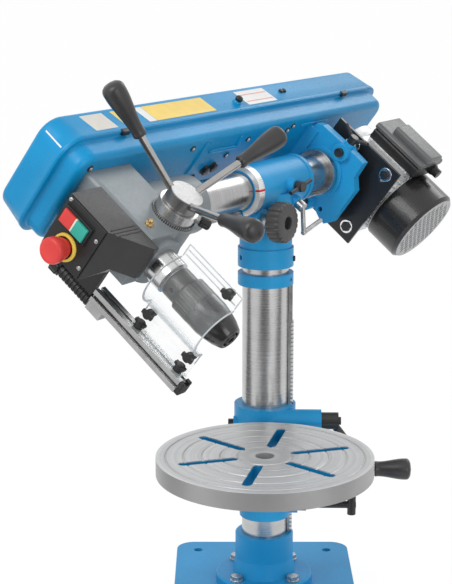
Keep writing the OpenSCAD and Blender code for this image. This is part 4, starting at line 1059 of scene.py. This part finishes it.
def lay_floor(scene):
    """A square grid at bench height: mostly its own white to the eye, with the lamps' shadow in the rest."""
    m = bpy.data.materials.new("floor")
    t = empty_tree(m)
    lit, glow, both, mix, out = (t.nodes.new("ShaderNode" + k) for k in (
        "BsdfDiffuse", "Emission", "MixShader", "MixShader", "OutputMaterial"))
    lit.inputs["Color"].default_value = FLOOR_SHADE
    both.inputs[0].default_value = SHADOW_SHARE
    glow.inputs["Strength"].default_value = FLOOR_GLOW
    wire(t, (glow.outputs[0], both.inputs[1]), (lit.outputs[0], both.inputs[2]), (seen(t), mix.inputs[0]),
         (lit.outputs[0], mix.inputs[1]), (both.outputs[0], mix.inputs[2]), (mix.outputs[0], out.inputs[0]))
    g = np.linspace(-FLOOR_HALF, FLOOR_HALF, 9)
    p = np.stack([*np.meshgrid(g, g), np.zeros((9, 9))], -1).reshape(-1, 3)
    k = (np.arange(8)[:, None] * 9 + np.arange(8)[None, :]).reshape(-1)
    stand(scene, "floor", p.tolist(), np.stack([k, k + 1, k + 10, k + 9], -1).tolist(), m)


def hang_lamps(scene, s):
    """Round soft lamps turned to the machine, which the camera doesn't see."""
    for name, place, size in LAMPS:
        lamp = bpy.data.lights.new(name, "AREA")
        lamp.shape, lamp.size, lamp.energy = "DISK", size, getattr(s, name)
        held = bpy.data.objects.new(name, lamp)
        held.location = place
        held.rotation_euler = (Vector(place) - Vector(AIM)).to_track_quat("Z", "Y").to_euler()
        held.visible_camera = False
        scene.collection.objects.link(held)


def set_cards(scene):
    """Dark cards that only mirrors see, so that bright metal shows dark bands."""
    m = bpy.data.materials.new("dark_card")
    m.use_nodes = True
    shader = m.node_tree.nodes["Principled BSDF"]
    shader.inputs["Base Color"].default_value = CARD_SHADE
    shader.inputs["Roughness"].default_value = 0.9
    for name, (x0, y0, z0), (x1, y1, z1) in CARDS:
        corners = [(x0, y0, z0), (x1, y0, z0), (x1, y1, z1), (x0, y1, z1)]
        panel = stand(scene, name, corners, [(0, 1, 2, 3)], m)
        for ray in ("camera", "diffuse", "transmission", "volume_scatter", "shadow"):
            setattr(panel, "visible_" + ray, False)


def set_camera(scene, lens):
    """The camera fitted to the photograph."""
    view = bpy.data.cameras.new("camera")
    view.sensor_fit, view.sensor_width, view.lens = "HORIZONTAL", 36.0, lens
    view.clip_end = 200.0
    eye = bpy.data.objects.new("camera", view)
    eye.location = EYE
    eye.rotation_euler = (math.radians(EYE_TILT), 0.0, 0.0)
    scene.collection.objects.link(eye)
    scene.camera = eye


class DRILL_OT_stage(bpy.types.Operator):
    """Pale floor, even white surround, three soft lamps, dark cards for the metal, and the camera"""
    bl_idname = "drill.stage"
    bl_label = "Stage"

    def execute(self, context):
        scene, s = context.scene, context.scene.drill_stage
        scene.view_settings.view_transform = "Standard"
        lay_surround(scene, s.sky)
        lay_floor(scene)
        hang_lamps(scene, s)
        set_cards(scene)
        set_camera(scene, s.lens)
        return {"FINISHED"}


STEPS = (DRILL_OT_stage, DRILL_OT_finish_solids, DRILL_OT_belt_cover, DRILL_OT_belt_tray,
         DRILL_OT_cover_plates, DRILL_OT_grips, DRILL_OT_ram_knob, DRILL_OT_switch_pieces, DRILL_OT_fasteners,
         DRILL_OT_fittings)


class DRILL_PT_panel(bpy.types.Panel):
    """Lists the steps and the values they read"""
    bl_idname = "DRILL_PT_panel"
    bl_label = "Drill press"
    bl_space_type = "VIEW_3D"
    bl_region_type = "UI"
    bl_category = "Drill press"

    def draw(self, context):
        for step in STEPS:
            self.layout.operator(step.bl_idname)
        for group in (context.scene.drill_colours, context.scene.drill_sizes, context.scene.drill_stage):
            column = self.layout.column()
            for key in group.bl_rna.properties.keys():
                if key not in ("rna_type", "name"):
                    column.prop(group, key)


GROUPS = {"drill_colours": DrillColours, "drill_sizes": DrillSizes, "drill_stage": DrillStage}


def register():
    for cls in (*GROUPS.values(), *STEPS, DRILL_PT_panel):
        bpy.utils.register_class(cls)
    for name, cls in GROUPS.items():
        setattr(bpy.types.Scene, name, bpy.props.PointerProperty(type=cls))


def unregister():
    for name in GROUPS:
        delattr(bpy.types.Scene, name)
    for cls in reversed((*GROUPS.values(), *STEPS, DRILL_PT_panel)):
        bpy.utils.unregister_class(cls)


def main():
    """Registers the add-on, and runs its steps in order."""
    register()
    bpy.ops.drill.stage()
    bpy.ops.drill.finish_solids()
    bpy.ops.drill.belt_cover()
    bpy.ops.drill.belt_tray()
    bpy.ops.drill.cover_plates()
    bpy.ops.drill.grips()
    bpy.ops.drill.ram_knob()
    bpy.ops.drill.switch_pieces()
    bpy.ops.drill.fasteners()
    bpy.ops.drill.fittings()


if __name__ == "__main__":
    main()
